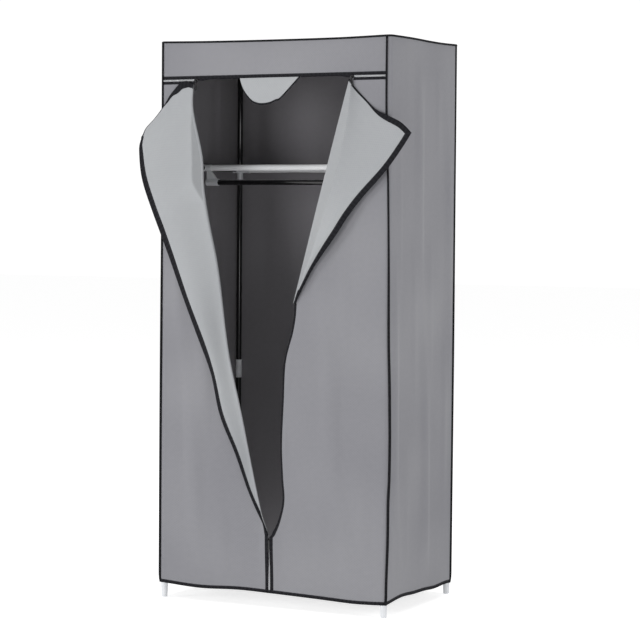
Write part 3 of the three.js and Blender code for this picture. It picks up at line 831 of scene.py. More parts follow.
def wall_surface(wall, p, q):
    """Surface of a whole wall over p, left to right, and q, hem to top."""
    share = 2 * p - 1
    low, high = hem_line(wall, share), top_line(wall, share)
    level = low + (high - low) * q
    girth = wall_girth(wall, share, level)
    return wall_point(wall, girth, level, swell(wall, girth, level))


def sew(name, surface, columns, rows, finishes, slot, node, body="root"):
    """Makes the sheet of a surface on a grid of its two parameters, and settles it."""
    q, p = np.meshgrid(rows, columns, indexing="ij")
    return put_piece(name, sheet_shell(surface(p, q)), finishes, slot, node, body=body)


def even(count):
    """Even steps from 0 to 1."""
    return np.linspace(0, 1, count)


wall_surfaces = {wall: partial(wall_surface, wall) for wall in ("right", "left", "back")}
# the walls' inner faces take the lining's back painted darker, as painted shade inside
for wall, surface in wall_surfaces.items():
    piece = sew(f"cover_cloth_{wall}", surface, even(97), even(161),
                [outer_cloth, lining_painted_shade], "cover_cloth", "cover_" + wall)

# %% [markdown]
# The roof is a panel sewn to the walls all round. It lies on the top tubes and dips a
# little between them.

# %% Roof
roof_dip = 9.0


def rim_point(wall, share, above=0.0, forward=0.0):
    """Point of a wall's top edge, or a little above it and in front."""
    share = np.asarray(share, float)
    level = top_line(wall, share)
    return wall_point(wall, wall_girth(wall, share, level), level + above, forward)


def roof_surface(p, q):
    """p from left to right and q from front to back: the blends between opposite rims added up,
    less the blend of the four corners, which both of them hold, and dipped in the middle."""
    side_share, depth_share = 2 * p - 1, 2 * q - 1
    inside = smooth(1 - np.abs(side_share), 0.03, 0.5) * smooth(1 - np.abs(depth_share), 0.05, 0.6)
    p, q = p[..., None], q[..., None]
    ruled = (1 - q) * rim_point("front", side_share) + q * rim_point("back", -side_share)
    ruled = ruled + (1 - p) * rim_point("left", -depth_share) + p * rim_point("right", depth_share)
    plain = (1 - q) * ((1 - p) * rim_point("front", -1) + p * rim_point("front", 1))
    plain = plain + q * ((1 - p) * rim_point("back", 1) + p * rim_point("back", -1))
    point = ruled - plain
    point[..., 2] -= roof_dip * inside + 0.8 * np.sin(9 * side_share) * inside
    return point


# the roof's inner face takes the lining's back painted darker, as painted shade inside
roof = sew("cover_cloth_roof", roof_surface, even(73), even(49),
           [outer_cloth, lining_painted_shade], "cover_cloth", "cover_top")

# %% [markdown]
# The front is a header strip above the zip and two doors below it. A door's inner edge is
# the fold line where the corner is turned back, and lower down the zip itself. Tables of
# shares give the fold and the free edges, as on the CAD model.

# %% Header and doors
chain_half = 3.2  # half the width of the closed zip's pale stripe
zip_line = zip_level + 3.0
header_foot = zip_line + chain_half
door_top = zip_line - chain_half

left_bow_shares = [
    [0, 0.04], [0.011, 0.05], [0.055, 0.095], [0.095, 0.095], [0.124, 0.083], [0.175, 0.077],
    [0.233, 0.119], [0.3, 0.125], [0.41, 0.104], [0.6, 0.146], [0.73, 0.11], [0.95, 0.06], [1, 0.01],
]
fold_end = 0.487  # share of the mouth's drop at which the right door's fold runs out
fold_top_reach = 0.97
fold_end_reach = 0.285
open_edge_shares = [
    [0.487, 0.3], [0.51, 0.29], [0.532, 0.27], [0.556, 0.243], [0.579, 0.206], [0.602, 0.173],
    [0.63, 0.152], [0.7, 0.143], [0.8, 0.127], [0.87, 0.142], [0.92, 0.158], [0.965, 0.11], [1, 0.03],
]
slack_lift = 24.0  # how far the right door's slack cloth stands out
edge_curl = 5.0  # how far its free edge curls in
curl_width = 9.0
hem_fade = 300.0  # mm over which a door's levels take up the waves of its hem


def left_fold(down):
    """Distance of the left door's fold from the middle, at a share of the mouth's drop."""
    return slider_x * (1 - down + follow(left_bow_shares, down))


def right_fold(down):
    """The right door's straight fold, from above its slider to where the fold runs out."""
    return slider_x * (fold_top_reach + (fold_end_reach - fold_top_reach) * down / fold_end)


def right_edge(down):
    """Fold above, and below it the free edge that hangs slack."""
    open_edge = slider_x * follow(open_edge_shares, down)
    return np.where(down < fold_end, right_fold(down), open_edge)


fold_strip = 6.0  # how far back from the fold a door panel stops; the folded piece goes on from there


def door_inner(side, level):
    """Distance of a door panel's inner edge from the middle."""
    down = np.clip((zip_level - level) / mouth_drop, 0, 1)
    if side == "left":
        edge = left_fold(down) + fold_strip * smooth(1 - down, 0.0, 0.05)
    else:
        edge = right_edge(down) + fold_strip * smooth(fold_end - down, 0.0, 0.04)
    return np.where(level < mouth_foot, chain_half, np.maximum(edge, chain_half))


def handed(side, p):
    """Turns a parameter that runs from the mouth outwards into p, which runs to the right."""
    return 1 - p if side == "left" else p


def door_surface(side, p, q):
    """Surface of a door over p, left to right, and q, hem to zip."""
    sign = -1 if side == "left" else 1
    flat_level = hem_level + (door_top - hem_level) * q
    inner = door_inner(side, flat_level)
    outward = handed(side, p)
    seam = np.abs(wall_girth("front", np.float64(sign), flat_level))
    reach = inner + (seam - inner) * outward
    girth = sign * reach
    near_hem = 1 - smooth(flat_level, hem_level, hem_level + hem_fade)
    level = flat_level + near_hem * follow(hem_waves["front"], girth / wall_half("front"))
    # the zip holds the cloth flat along the top, so the slider runs clear of it
    forward = swell("front", girth, level) * smooth(door_top - flat_level, 10, 70)
    if side == "right":
        down = (zip_level - flat_level) / mouth_drop
        free = np.clip((down - fold_end) / (1 - fold_end), 0, 1)
        span = np.clip(outward, 0, 1)
        forward = forward + slack_lift * np.sin(np.pi * free) ** 2 * np.sin(np.pi * span) * (1 - span)
        curl = edge_curl * smooth(free, 0.0, 0.1) * (1 - smooth(free, 0.85, 1.0))
        forward = forward - curl * np.exp(-(reach - inner) / curl_width)
    return wall_point("front", girth, level, forward)


def header_surface(p, q):
    """Surface of the header over p, left to right, and q, its bound edge up to the roof."""
    share = 2 * p - 1
    high = top_line("front", share)
    level = header_foot + (high - header_foot) * q
    girth = wall_girth("front", share, level)
    belly = 1.6 * np.sin(np.pi * q) * (1 + np.sin(5 * share + 1)) * (1 - smooth(np.abs(share), 0.8, 0.98))
    return wall_point("front", girth, level, belly)


two_faced = [outer_cloth, lining_cloth]
door_surfaces = {side: partial(door_surface, side) for side in ("left", "right")}
for side, surface in door_surfaces.items():
    columns = np.sort(handed(side, even(81) ** 1.5))
    piece = sew(f"door_cloth_{side}", surface, columns, even(241), two_faced,
                "cover_cloth", "front_panel_" + side)

header = sew("header_cloth", header_surface, even(121), even(25), two_faced,
             "cover_cloth", "cover_header")

# %% [markdown]
# Each folded-out corner is one sheet that starts on the door's face, rolls round the fold
# and spreads forward to its free edge, pale side out. Its two parameters are a, down the
# fold, and t, round the roll and out to the free edge.

# %% Folded corners
fold_lift = 26.0
lift_power = 1.5
roll_share = 0.2  # share of t spent on the strip and the roll
strip_share = 0.2  # share of that spent on the strip
corner_reach = 22.0  # how far round the free corner its rounding is felt

folds = {
    "left": {
        "mouthward": 1,
        "top": 0.011,
        "foot": 1.0,
        "fold": lambda down: -left_fold(down),
        # [share down the fold, free edge's drop, distance from the middle, lift], as shares
        "edge": [
            [0, 0.12, 1.76, 0.2], [0.1, 0.212, 1.665, 0.9], [0.2, 0.3, 1.495, 0.8],
            [0.3, 0.388, 1.315, 0.54], [0.4, 0.475, 1.127, 0.58], [0.5, 0.56, 0.905, 1.08],
            [0.6, 0.647, 0.741, 0.58], [0.7, 0.738, 0.615, 0.7], [0.8, 0.823, 0.415, 0.6],
            [0.9, 0.912, 0.246, 0.23], [1, 0.995, 0.02, 0.15],
        ],
        # [share down the fold, how far the middle swells forward, as a share of the lift]
        "bulge": [[0, 0.1], [0.1, 0.3], [0.35, 0.75], [0.55, 0.9], [0.75, 0.3], [1, 0]],
        # [share from fold to corner, rise of the top edge above the straight line, mm]
        "rise": [
            [0, 5], [0.06, 20], [0.12, 31], [0.2, 40], [0.27, 41], [0.34, 38], [0.42, 33], [0.51, 21],
            [0.69, 8], [0.88, 4], [1, 0],
        ],
        # how far the free corner is rounded off, mm
        "pull": 9.0,
        # [share down the fold, width of the rolled band, mm]
        "ridge": [
            [0, 0.5], [0.055, 0.5], [0.085, 8], [0.138, 19], [0.183, 25], [0.205, 23], [0.224, 15.5],
            [0.246, 6], [0.262, 0.5], [1, 0.5],
        ],
        # height of the rolled band over its width
        "steep": 0.75,
        # how slowly the height falls beyond the rolled band, in widths of the band
        "fall": 4.0,
        # [share down the fold, radius of the roll, mm]
        "roll": [[0, 1.2], [0.04, 3.5], [0.3, 4.5], [0.7, 3], [1, 1]],
    },
    "right": {
        "mouthward": -1,
        "top": 0.004,
        "foot": fold_end,
        "fold": right_fold,
        "edge": [
            [0, 0.12, 1.76, 0.5], [0.2, 0.194, 1.48, 0.6], [0.4, 0.26, 1.15, 0.46],
            [0.5, 0.297, 0.995, 0.54], [0.6, 0.335, 0.861, 0.62], [0.8, 0.408, 0.564, 0.38],
            [0.9, 0.449, 0.43, 0.27], [0.95, 0.468, 0.372, 0.2], [1, 0.489, 0.312, 0.12],
        ],
        "bulge": [[0, 0.1], [0.2, 0.2], [0.5, 0.6], [0.8, 0.4], [1, 0]],
        "rise": [
            [0, 0], [0.03, -2], [0.07, -10], [0.28, -18], [0.42, -22], [0.6, -11], [0.81, 1.5],
            [0.93, 2], [1, 0],
        ],
        "pull": 2.0,
        "ridge": [[0, 6], [0.06, 22], [0.2, 40], [0.4, 46], [0.65, 38], [0.85, 20], [1, 4]],
        "steep": 0.6,
        "fall": 0.9,
        "roll": [[0, 1], [0.06, 1.6], [0.3, 3.5], [0.7, 3], [1, 1]],
    },
}


def folded_surface(side, p, q):
    """Surface of a folded corner over p and q, in the walls' sense of left, right, up and out."""
    facts = folds[side]
    mouthward = facts["mouthward"]
    sign = -mouthward
    length = facts["foot"] - facts["top"]
    a = np.clip(1 - q, 0, 1)
    t = handed(side, 1 - p)
    down = facts["top"] + length * a
    fold_x, fold_z = facts["fold"](down), zip_level - mouth_drop * down
    edge_z = zip_level - mouth_drop * follow(facts["edge"], a, 1)
    edge_x = sign * slider_x * follow(facts["edge"], a, 2)
    edge_forward = fold_lift * follow(facts["edge"], a, 3)
    radius = follow(facts["roll"], a)
    # behind the fold: a flat strip on the door's face, then half a turn
    k = t / roll_share
    strip = fold_strip * (1 - np.minimum(k / strip_share, 1))
    turn = np.pi * (np.clip((k - strip_share) / (1 - strip_share), 0, 1) - 0.5)
    behind = radius * (1 - np.cos(turn)) + strip * (1 - radius / fold_strip)
    # in front: out to the free edge
    s = np.clip((t - roll_share) / (1 - roll_share), 0, None)
    start_x = fold_x - mouthward * radius
    width = np.hypot(edge_x - start_x, edge_z - fold_z)
    band = follow(facts["ridge"], a)
    reach = s * width / np.maximum(band, 0.5)
    height = np.where(reach < 1, reach, np.exp(-np.maximum(reach - 1, 0) / facts["fall"]))
    ridge = facts["steep"] * band * height * smooth(1.2 - s, 0, 0.5)
    bulge = fold_lift * follow(facts["bulge"], a) * np.sin(np.pi * np.clip(s, 0, 1)) * s
    forward = radius * (1 + np.sin(turn)) + edge_forward * s ** lift_power
    forward = forward + np.where(s > 0, ridge + bulge - radius * np.clip(s, 0, 1) ** 2, 0)
    x = np.where(s > 0, start_x + (edge_x - start_x) * s, fold_x - mouthward * behind)
    z = fold_z + (edge_z - fold_z) * s
    fade = np.clip(1 - a / 0.09, 0, 1) ** 2
    z = z + follow(facts["rise"], s) * fade * np.where(s > 0, 1, k)
    # the free corner is drawn in towards the middle of the piece
    to_corner = np.hypot(a * length * mouth_drop, (1 - s) * width)
    pull = facts["pull"] * np.exp(-(to_corner / corner_reach) ** 2)
    return np.stack([x - sign * pull, front_face - forward, z - 0.3 * pull], -1)


flap_surfaces = {side: partial(folded_surface, side) for side in folds}
flap_columns = np.concatenate([
    np.linspace(0, roll_share, 17)[:-1],
    roll_share + (1 - roll_share) * even(57) ** 1.35,
])
hinge_bend = {
    side: ("root", f"{side}_flap", (0, front_face * MM, 0), (0, (front_face - 1.2) * MM, 0))
    for side in folds
}
flap_rows = {"left": 201, "right": 121}
for side, surface in flap_surfaces.items():
    columns = np.sort(handed(side, 1 - flap_columns))
    rows = 1 - even(flap_rows[side])[::-1] ** 1.15
    piece = sew(f"flap_cloth_{side}", surface, columns, rows, two_faced,
                "lining_cloth", "flap_" + side, hinge_bend[side])

# %% [markdown]
# Black tape is folded over every raw edge and sewn down. A strip of tape is laid on the
# cloth's own surface: two curves in the surface's parameters bound it, and the points
# between them are lifted a little off both faces, so the tape follows every fold.

# %% Binding tape
tape_width = 8.8  # black binding on the header's edge
door_tape = 7.5
centre_tape = 9.5
open_tape = 6.5  # what shows beside the right door's open edge
slim_tape = 1.5  # what is left of it where the left door's fold starts
hem_tape = 9.0
tape_inside = 10.0
tape_proud = 0.7
tape_across = np.array([0, 0.04, 0.12, 0.24, 0.36, 0.48, 0.6, 0.7, 0.8, 0.9, 0.985, 1.0])
tape_height = np.array([0.55, 1, 1, 1, 1, 1, 1, 1, 1, 1, 0.85, 0.1])


def out_of(surface, p, q, step=0.002):
    """Unit normal of a surface from small steps in its parameters."""
    over = surface(p + step, q) - surface(p - step, q)
    up = surface(p, q + step) - surface(p, q - step)
    return unit(np.cross(over, up))


def tape_shell(surface, edge, inner_out, inner_in=None, proud=tape_proud):
    """Tape over a cloth edge. edge, inner_out and inner_in are rows of (p, q): the raw edge and how
    far the tape reaches on the outer and on the inner face."""
    k = tape_across[:, None]
    inner_in = inner_out if inner_in is None else inner_in
    over = edge[:, None] * (1 - k) + inner_out[:, None] * k
    under = edge[:, None] * (1 - k) + inner_in[:, None] * k
    over, under, at_edge = ((line[..., 0], line[..., 1]) for line in (over, under, edge))
    lift = (tape_height * proud)[:, None]
    top = surface(*over) + lift * out_of(surface, *over)
    low = surface(*under) - (cloth_thickness + lift) * out_of(surface, *under)
    raw = surface(*at_edge)
    beside = unit(raw - surface(*over)[:, 9]) * proud
    nose = raw + beside - 0.5 * cloth_thickness * out_of(surface, *at_edge)
    return loop_shell(np.concatenate([top[:, ::-1], nose[:, None], low], axis=1))


def put_sewing(name, shells, body="root", finish=binding_tape, sharp=60):
    """Settles tape or stitches as one piece."""
    put_piece(name, join_shells(shells), [finish], "binding_tape", body=body, sharp=sharp)


def pairs(p, q):
    """Two parameters, either a number or a row, as rows of (p, q)."""
    return np.stack(np.broadcast_arrays(np.asarray(p, float), np.asarray(q, float)), -1)


steps = even(121)
hem_share = hem_tape / (crown - hem_level)
for wall, surface in wall_surfaces.items():
    put_sewing(f"hem_tape_{wall}", [tape_shell(surface, pairs(steps, 0), pairs(steps, hem_share))])

door_share = 1 / (door_top - hem_level)
for side, surface in door_surfaces.items():
    # along the hem
    hem = tape_shell(surface, pairs(steps, 0), pairs(steps, hem_tape * door_share))
    # top edge under the closed zip, from the piping to the slider
    width = wall_half("front") - door_inner(side, door_top)
    stop = (slider_x + 5 - door_inner(side, door_top)) / width
    across = handed(side, stop + (1 - stop) * steps)
    under_zip = tape_shell(surface, pairs(across, 1), pairs(across, 1 - door_tape * door_share))
    # inner edge beside the closed zip, and on the right up the open edge to the fold
    top, seen_width, run_out = mouth_foot + 34, slim_tape, 34
    if side == "right":
        top, seen_width, run_out = zip_level - mouth_drop * fold_end + 4, open_tape, 60
    levels_up = hem_level + (top - hem_level) * steps
    q = (levels_up - hem_level) * door_share
    narrowing = smooth(levels_up, mouth_foot, mouth_foot + run_out)
    seen_width = centre_tape + (seen_width - centre_tape) * narrowing
    width = wall_half("front") - door_inner(side, levels_up)
    reaches = (0 * width, seen_width / width, tape_inside / width)
    inner = tape_shell(surface, *(pairs(handed(side, reach), q) for reach in reaches))
    put_sewing(f"door_tape_{side}", [hem, under_zip, inner])

header_share = tape_width / (crown - header_foot)
put_sewing("header_tape", [tape_shell(header_surface, pairs(steps, 0), pairs(steps, header_share))])

# %% [markdown]
# On the folded corners the tape shows its other half, sewn to the pale side. It's one
# strip along the top edge and down the long edge, and its width changes as the cloth
# turns, so each width is measured on the surface, square to the edge.

# %% Tape on the folded corners
# widths that show on the pale side, mm: along the top edge from the slider to the corner, and
# down the long edge from the corner
top_tape_widths = {
    "left": [
        [0, 9], [0.06, 14], [0.12, 19], [0.2, 20], [0.27, 17], [0.34, 10.5], [0.42, 7.5], [0.51, 2],
        [0.6, 0.8], [0.86, 0.8], [0.93, 3.5], [1, 8],
    ],
    "right": [[0, 4], [0.35, 4], [0.45, 7], [0.57, 13], [0.7, 15], [1, 15]],
}
long_tape_widths = {
    "left": [[0, 8], [0.03, 12], [0.06, 15], [0.2, 18.5], [0.5, 18], [0.65, 14], [0.8, 10], [1, 8]],
    "right": [[0, 15], [0.63, 15], [0.8, 11], [0.93, 8], [1, 5]],
}
hidden_tape_width = 9.0  # on the outer face


def inward_reach(points, reaches, width):
    """How far a parameter must go for a row of points to lie one width from its edge. points has
    a row for each place on the edge and reaches the parameter of each column; the distance is
    taken square to the edge's tangent."""
    tangent = unit(np.gradient(points[:, 0], axis=0))
    away = np.linalg.norm(np.cross(points - points[:, :1], tangent[:, None]), axis=-1)
    away = np.maximum.accumulate(away, axis=1)
    k = np.clip((away < width[:, None]).sum(axis=1), 1, len(reaches) - 1)
    row = np.arange(len(away))
    before, after = away[row, k - 1], away[row, k]
    share = np.clip((width - before) / np.maximum(after - before, 1e-6), 0, 1)
    return reaches[k - 1] + share * (reaches[k] - reaches[k - 1])


def flap_tape_lines(side, surface):
    """The free edge of a folded corner as rows of (p, q), and the lines that the tape reaches on
    the outer and on the pale face: first along the top edge, then down the long edge."""
    # the tape starts on the last part of the roll, which s counts below 0
    s = np.concatenate([np.linspace(-0.06, -0.006, 10), even(80)])
    a = even(170)

    def on_cloth(t, a):
        return pairs(handed(side, 1 - t), 1 - a)

    def points(t, a):
        where = on_cloth(t, a)
        return surface(where[..., 0], where[..., 1])

    t_top = roll_share + (1 - roll_share) * s
    down_steps = np.linspace(0, 0.3, 91)
    in_steps = np.linspace(0, 1 - roll_share, 181)
    top_points = points(t_top[:, None], down_steps[None])
    long_points = points(1 - in_steps[None], a[:, None])

    def lines(top_width, long_width):
        reach_a = inward_reach(top_points, down_steps, top_width)
        reach_t = inward_reach(long_points, in_steps, long_width)
        inner_t = np.concatenate([np.minimum(t_top[:-1], 1 - reach_t[0]), 1 - reach_t])
        return on_cloth(inner_t, np.concatenate([reach_a[:-1], np.maximum(a, reach_a[-1])]))

    raw = on_cloth(
        np.concatenate([t_top[:-1], np.ones(len(a))]),
        np.concatenate([np.zeros(len(s) - 1), a]),
    )
    hidden = lines(np.full(len(s), hidden_tape_width), np.full(len(a), hidden_tape_width))
    return raw, hidden, lines(follow(top_tape_widths[side], s), follow(long_tape_widths[side], a))


flap_lines = {side: flap_tape_lines(side, surface) for side, surface in flap_surfaces.items()}
for side, surface in flap_surfaces.items():
    put_sewing(f"flap_tape_{side}", [tape_shell(surface, *flap_lines[side])], hinge_bend[side])

# %% [markdown]
# Piping is a cord wrapped in tape and sewn into each corner seam. It's a round profile
# carried along the seam: up the four corners and round the roof.

# %% Piping
piping_radius = 2.9
hem_tuck = 3.0  # how far the cord is drawn in at its foot
tuck_height = 28  # mm above the hem over which it comes out again


def cord_along(path, radius, around=12, ring=False):
    """A round profile carried along a path: each loop lies square to the path there."""
    ahead = np.roll(path, -1, axis=0) - np.roll(path, 1, axis=0) if ring else np.gradient(path, axis=0)
    tangent = unit(ahead)
    side = unit(np.cross(np.where(np.abs(tangent[:, 2:]) > 0.8, x_axis, z_axis), tangent))
    up = np.cross(tangent, side)
    turn = full_turn(around)[:, None]
    circle = np.cos(turn) * side[:, None] + np.sin(turn) * up[:, None]
    return loop_shell(path[:, None] + np.broadcast_to(radius, len(path))[:, None, None] * circle, ring)


def corner_path(wall, end, proud=0.8, count=160):
    """The seam at one end of a wall from hem to top, set out by a share of the cord's radius."""
    share = np.full(count, float(end))
    low, high = hem_line(wall, share) - 0.5, top_line(wall, share)
    level = low + (high - low) * even(count)
    drawn = hem_tuck * np.clip(1 - (level - low) / tuck_height, 0, 1) ** 2
    return wall_point(wall, wall_girth(wall, share, level), level, piping_radius * proud - drawn)


piping_seams = {
    "front_left": corner_path("front", -1),
    "front_right": corner_path("front", 1),
    "back_right": corner_path("right", 1, 0.4),
    "back_left": corner_path("left", -1),
}
for name, path in piping_seams.items():
    # the cord is pulled thin at the top and stands proud lower down
    thickness = piping_radius * (1.3 - 0.3 * smooth(path[:, 2], 700, 1150))
    put_piece(f"piping_{name}", cord_along(path, thickness), [piping_tape], "binding_tape")

rim_shares = np.linspace(-1, 1, 90)[:-1]
rim = np.concatenate([rim_point(wall, rim_shares, 0.3, 0.8) for wall in next_wall])
put_piece("piping_roof", cord_along(rim, piping_radius, ring=True), [piping_tape], "binding_tape")

# %% [markdown]
# The zip is a nylon coil on woven tape. Closed, the two halves mesh into one pale ribbed
# line. Each turn of the coil is a small rounded bar, and the bars of the two halves take
# turns. Open, each half stays on its own edge.

# %% Zip chain
def capsule(length, radius, around=6):
    """A short bar with rounded ends, lying along x: loops of a few points, thinner at the ends."""
    shape = np.array([[-0.5, 0.35], [-0.42, 0.85], [0, 1], [0.42, 0.85], [0.5, 0.35]])
    thick = shape[:, 1:] * radius
    x = np.repeat(shape[:, :1] * length, around, axis=1)
    turn = full_turn(around)
    return loop_shell(np.stack([x, thick * np.cos(turn), thick * np.sin(turn)], -1))


def repeated(template, path, out, pitch, start, turn_to_path):
    """Copies of one small shell along a path, evenly spaced. turn_to_path gives the three axes of
    each copy and its shift, from the path's tangent and its way out there."""
    run = lengths_along(path, 0)
    where = np.arange(start, run[-1], pitch)
    place, normal = (
        np.stack([np.interp(where, run, line[:, k]) for k in range(3)], -1) for line in (path, out)
    )
    axes, shift = turn_to_path(unit(np.gradient(place, axis=0)), unit(normal))
    points = np.einsum("mk,nkj->nmj", template["points"], np.stack(axes, 1)) + (place + shift)[:, None]
    count, size = len(place), len(template["points"])
    firsts = range(0, count * size, size)
    faces = [[first + k for k in face] for first in firsts for face in template["faces"]]
    uv = np.tile(template["uv"], (count, 1))
    return {"points": points.reshape(-1, 3), "faces": faces, "uv": uv, "looks": np.zeros(len(faces), int)}


tooth_pitch = 1.7
tooth = capsule(3.4, 0.62)
tooth_lift = 0.6
tooth_side = 1.15  # how far the bars of each half lie from the middle
open_half_drop = 2.2


def chain_row(path, out, offset, shift):
    """Bars of one coil half along a path, each across it and set to one side."""
    def across(tangent, normal):
        beside = unit(np.cross(tangent, normal))
        return (beside, tangent, normal), offset * beside
    return repeated(tooth, path, out, tooth_pitch, tooth_pitch / 2 + shift, across)


def flat_tape(path, out, half_width, thickness=0.5):
    """A flat woven strip along a path."""
    beside = unit(np.cross(unit(np.gradient(path, axis=0)), out))
    wide, thick = np.array([[-1, -0.5], [1, -0.5], [1, 0.5], [-1, 0.5]]).T[:, :, None]
    loops = path[:, None] + wide * half_width * beside[:, None] + thick * thickness * out[:, None]
    return loop_shell(loops, look=1)


def put_zip(name, *shells):
    """Settles coil and tape as one piece."""
    put_piece(name, join_shells(shells), [zip_nylon, binding_tape], "zip_chain", sharp=60)


def closed_zip(name, path, out, *extras):
    """Tape with both halves of the coil meshed on it."""
    lifted = path + tooth_lift * out
    halves = [chain_row(lifted, out, -tooth_side, 0.0), chain_row(lifted, out, tooth_side, tooth_pitch / 2)]
    put_zip(name, *halves, flat_tape(path - 0.2 * out, out, chain_half + 1.5), *extras)


for side, sign in (("left", -1), ("right", 1)):
    seam = abs(wall_girth("front", np.float64(sign), zip_line))
    girth = sign * np.linspace(slider_x + 4, seam - 1, 60)
    path = wall_point("front", girth, np.full(60, zip_line))
    out = unit(wall_point("front", girth, np.full(60, zip_line), 1.0) - path)
    closed_zip(f"zip_closed_{side}", path, out)

middle_hem = hem_line("front", np.float64(0))
path = wall_point("front", np.zeros(80), np.linspace(middle_hem + 1, centre_slider_level - 4, 80))
# the binding of the hem crosses the foot of the zip
bridge_path = wall_point("front", np.linspace(-5.5, 5.5, 5), np.full(5, middle_hem + 4.2), 1.5)
bridge = flat_tape(bridge_path, np.tile(-y_axis, (5, 1)), 4.6, 0.8)
closed_zip("zip_closed_centre", path, np.tile(-y_axis, (80, 1)), bridge)

# the open half under the header leans inwards between the sliders
girth = np.linspace(-slider_x - 4, slider_x + 4, 160)
lean = np.radians(75) * (1 - smooth(np.abs(girth), slider_x - 45, slider_x))
path = wall_point("front", girth, header_foot - open_half_drop * np.cos(lean))
path[:, 1] += open_half_drop * np.sin(lean)
out = np.stack([0 * lean, -np.cos(lean), -np.sin(lean)], -1)
open_coil = chain_row(path - tooth_lift * out, out, -0.8, 0.0)
put_zip("zip_open_header", open_coil, flat_tape(path, out, 3.0))

# %% [markdown]
# A half-moon of the same cloth hangs behind the header at the middle of the opening,
# with its round edge bound.

# %% Tongue
tongue_low, tongue_high = box_mm("header_tongue")
tongue_seam = zip_level + 6
tongue_top = tongue_high[2] + 6
tongue_tape_width = 4.5
# [share across, depth below the seam as a share of the tongue's whole depth]
tongue_outline_shares = [
    [0, 0.0], [0.04, 0.33], [0.1, 0.6], [0.2, 0.87], [0.3, 0.98], [0.38, 1.0], [0.5, 0.96], [0.6, 0.86],
    [0.65, 0.83], [0.76, 0.58], [0.88, 0.28], [0.96, 0.08], [1, 0.0],
]


def tongue_foot(p):
    """Level of the round edge."""
    return tongue_seam - (tongue_seam - tongue_low[2]) * follow(tongue_outline_shares, p) - 1.0


def tongue_surface(p, q):
    """p across and q from the round edge up to the top edge behind the header."""
    x = tongue_low[0] + (tongue_high[0] - tongue_low[0]) * p
    y = tongue_low[1] + 1.6 * np.sin(3 * p + 1) * (1 - q) + 2.0 * (1 - q) ** 2
    foot = tongue_foot(p)
    return np.stack([x, y, foot + (tongue_top - foot) * q], -1)


tongue = sew("tongue_cloth", tongue_surface, even(81), even(25), [lining_cloth] * 2,
             "lining_cloth", "header_tongue")
span = np.linspace(0.004, 0.996, 140)
tongue_reach = tongue_tape_width / (tongue_top - tongue_foot(span))
round_edge = tape_shell(tongue_surface, pairs(span, 0), pairs(span, tongue_reach), proud=0.5)
put_sewing("tongue_tape", [round_edge])

# %% [markdown]
# The shelf is one cloth: hemmed round the middle tube at its front, slung back with a
# slight sag, and hemmed round the tube behind. Its section is followed as one line, round
# one tube, across and round the other, and carried from side to side.

# %% Shelf cloth
hem_radius = tube_radius + 1.0
shelf_sag = 6.0
shelf_front_half = post_x - bracket_reach - 0.5
shelf_back_half = post_x - socket_reach - 0.5
bar_y = middle_mm("shelf_tube_middle")[1]


def hem_round(y, start, end):
    """Part of a circle round a tube, in y and z."""
    turn = np.radians(np.linspace(start, end, 28))
    return np.stack([y + hem_radius * np.cos(turn), hem_radius * np.sin(turn)], -1)


t = np.linspace(0.02, 0.98, 60)
tail = np.stack([np.linspace(24, 7, 6), np.linspace(hem_radius - 4.5, -hem_radius + 0.8, 6)], -1)
section = np.concatenate([
    [bar_y, 0] + tail,
    hem_round(bar_y, -60, -270),
    np.stack([bar_y + (rear_post - bar_y) * t, hem_radius - shelf_sag * 4 * t * (1 - t)], -1),
    hem_round(rear_post, 90, -120),
    [rear_post, 0] + tail[::-1] * [-1, 1],
])
shares = np.linspace(-1, 1, 61)
widening = smooth(section[:, 0], bar_y + 30, rear_post - 50)
half = shelf_front_half + (shelf_back_half - shelf_front_half) * widening
sway = 0.5 * np.sin(11 * shares + 1) * smooth(section[:, :1], bar_y + 20, bar_y + 60)
level = shelf_level + section[:, 1:] + sway
shelf_grid = np.stack(np.broadcast_arrays(shares * half[:, None], section[:, :1], level), -1)
shelf_shell = sheet_shell(shelf_grid, 0)
shelf = put_piece("shelf_cloth_sling", shelf_shell, [shelf_fabric], "lining_cloth", "shelf_cloth")

# %% [markdown]
# The sliders are die-cast: a boat-shaped body over the coil with a bridge that holds a
# flat pull. The pulls are stamped with a rounded end and swing on the bridge.

# %% Sliders and pulls
def boat_outline(length, wide, narrow, count=24):
    """Outline of a slider's top plate: an egg, wide where the halves part and narrow behind."""
    turn = full_turn(count)
    width = (wide + narrow) / 4 + (wide - narrow) / 4 * np.cos(turn)
    across = np.sign(np.sin(turn)) * np.abs(np.sin(turn)) ** 0.6 * width
    return np.stack([np.cos(turn) * length / 2, across], -1)


def tab_outline(length, head, tail, count=10):
    """Outline of a pull: narrow at the eye, widening to a round end."""
    turn = np.linspace(-np.pi / 2, np.pi / 2, count)
    tip = np.stack([length - tail / 2 + np.cos(turn) * tail / 2, np.sin(turn) * tail / 2], -1)
    return np.concatenate([[[-1.2, -head / 2]], tip, [[-1.2, head / 2]]])


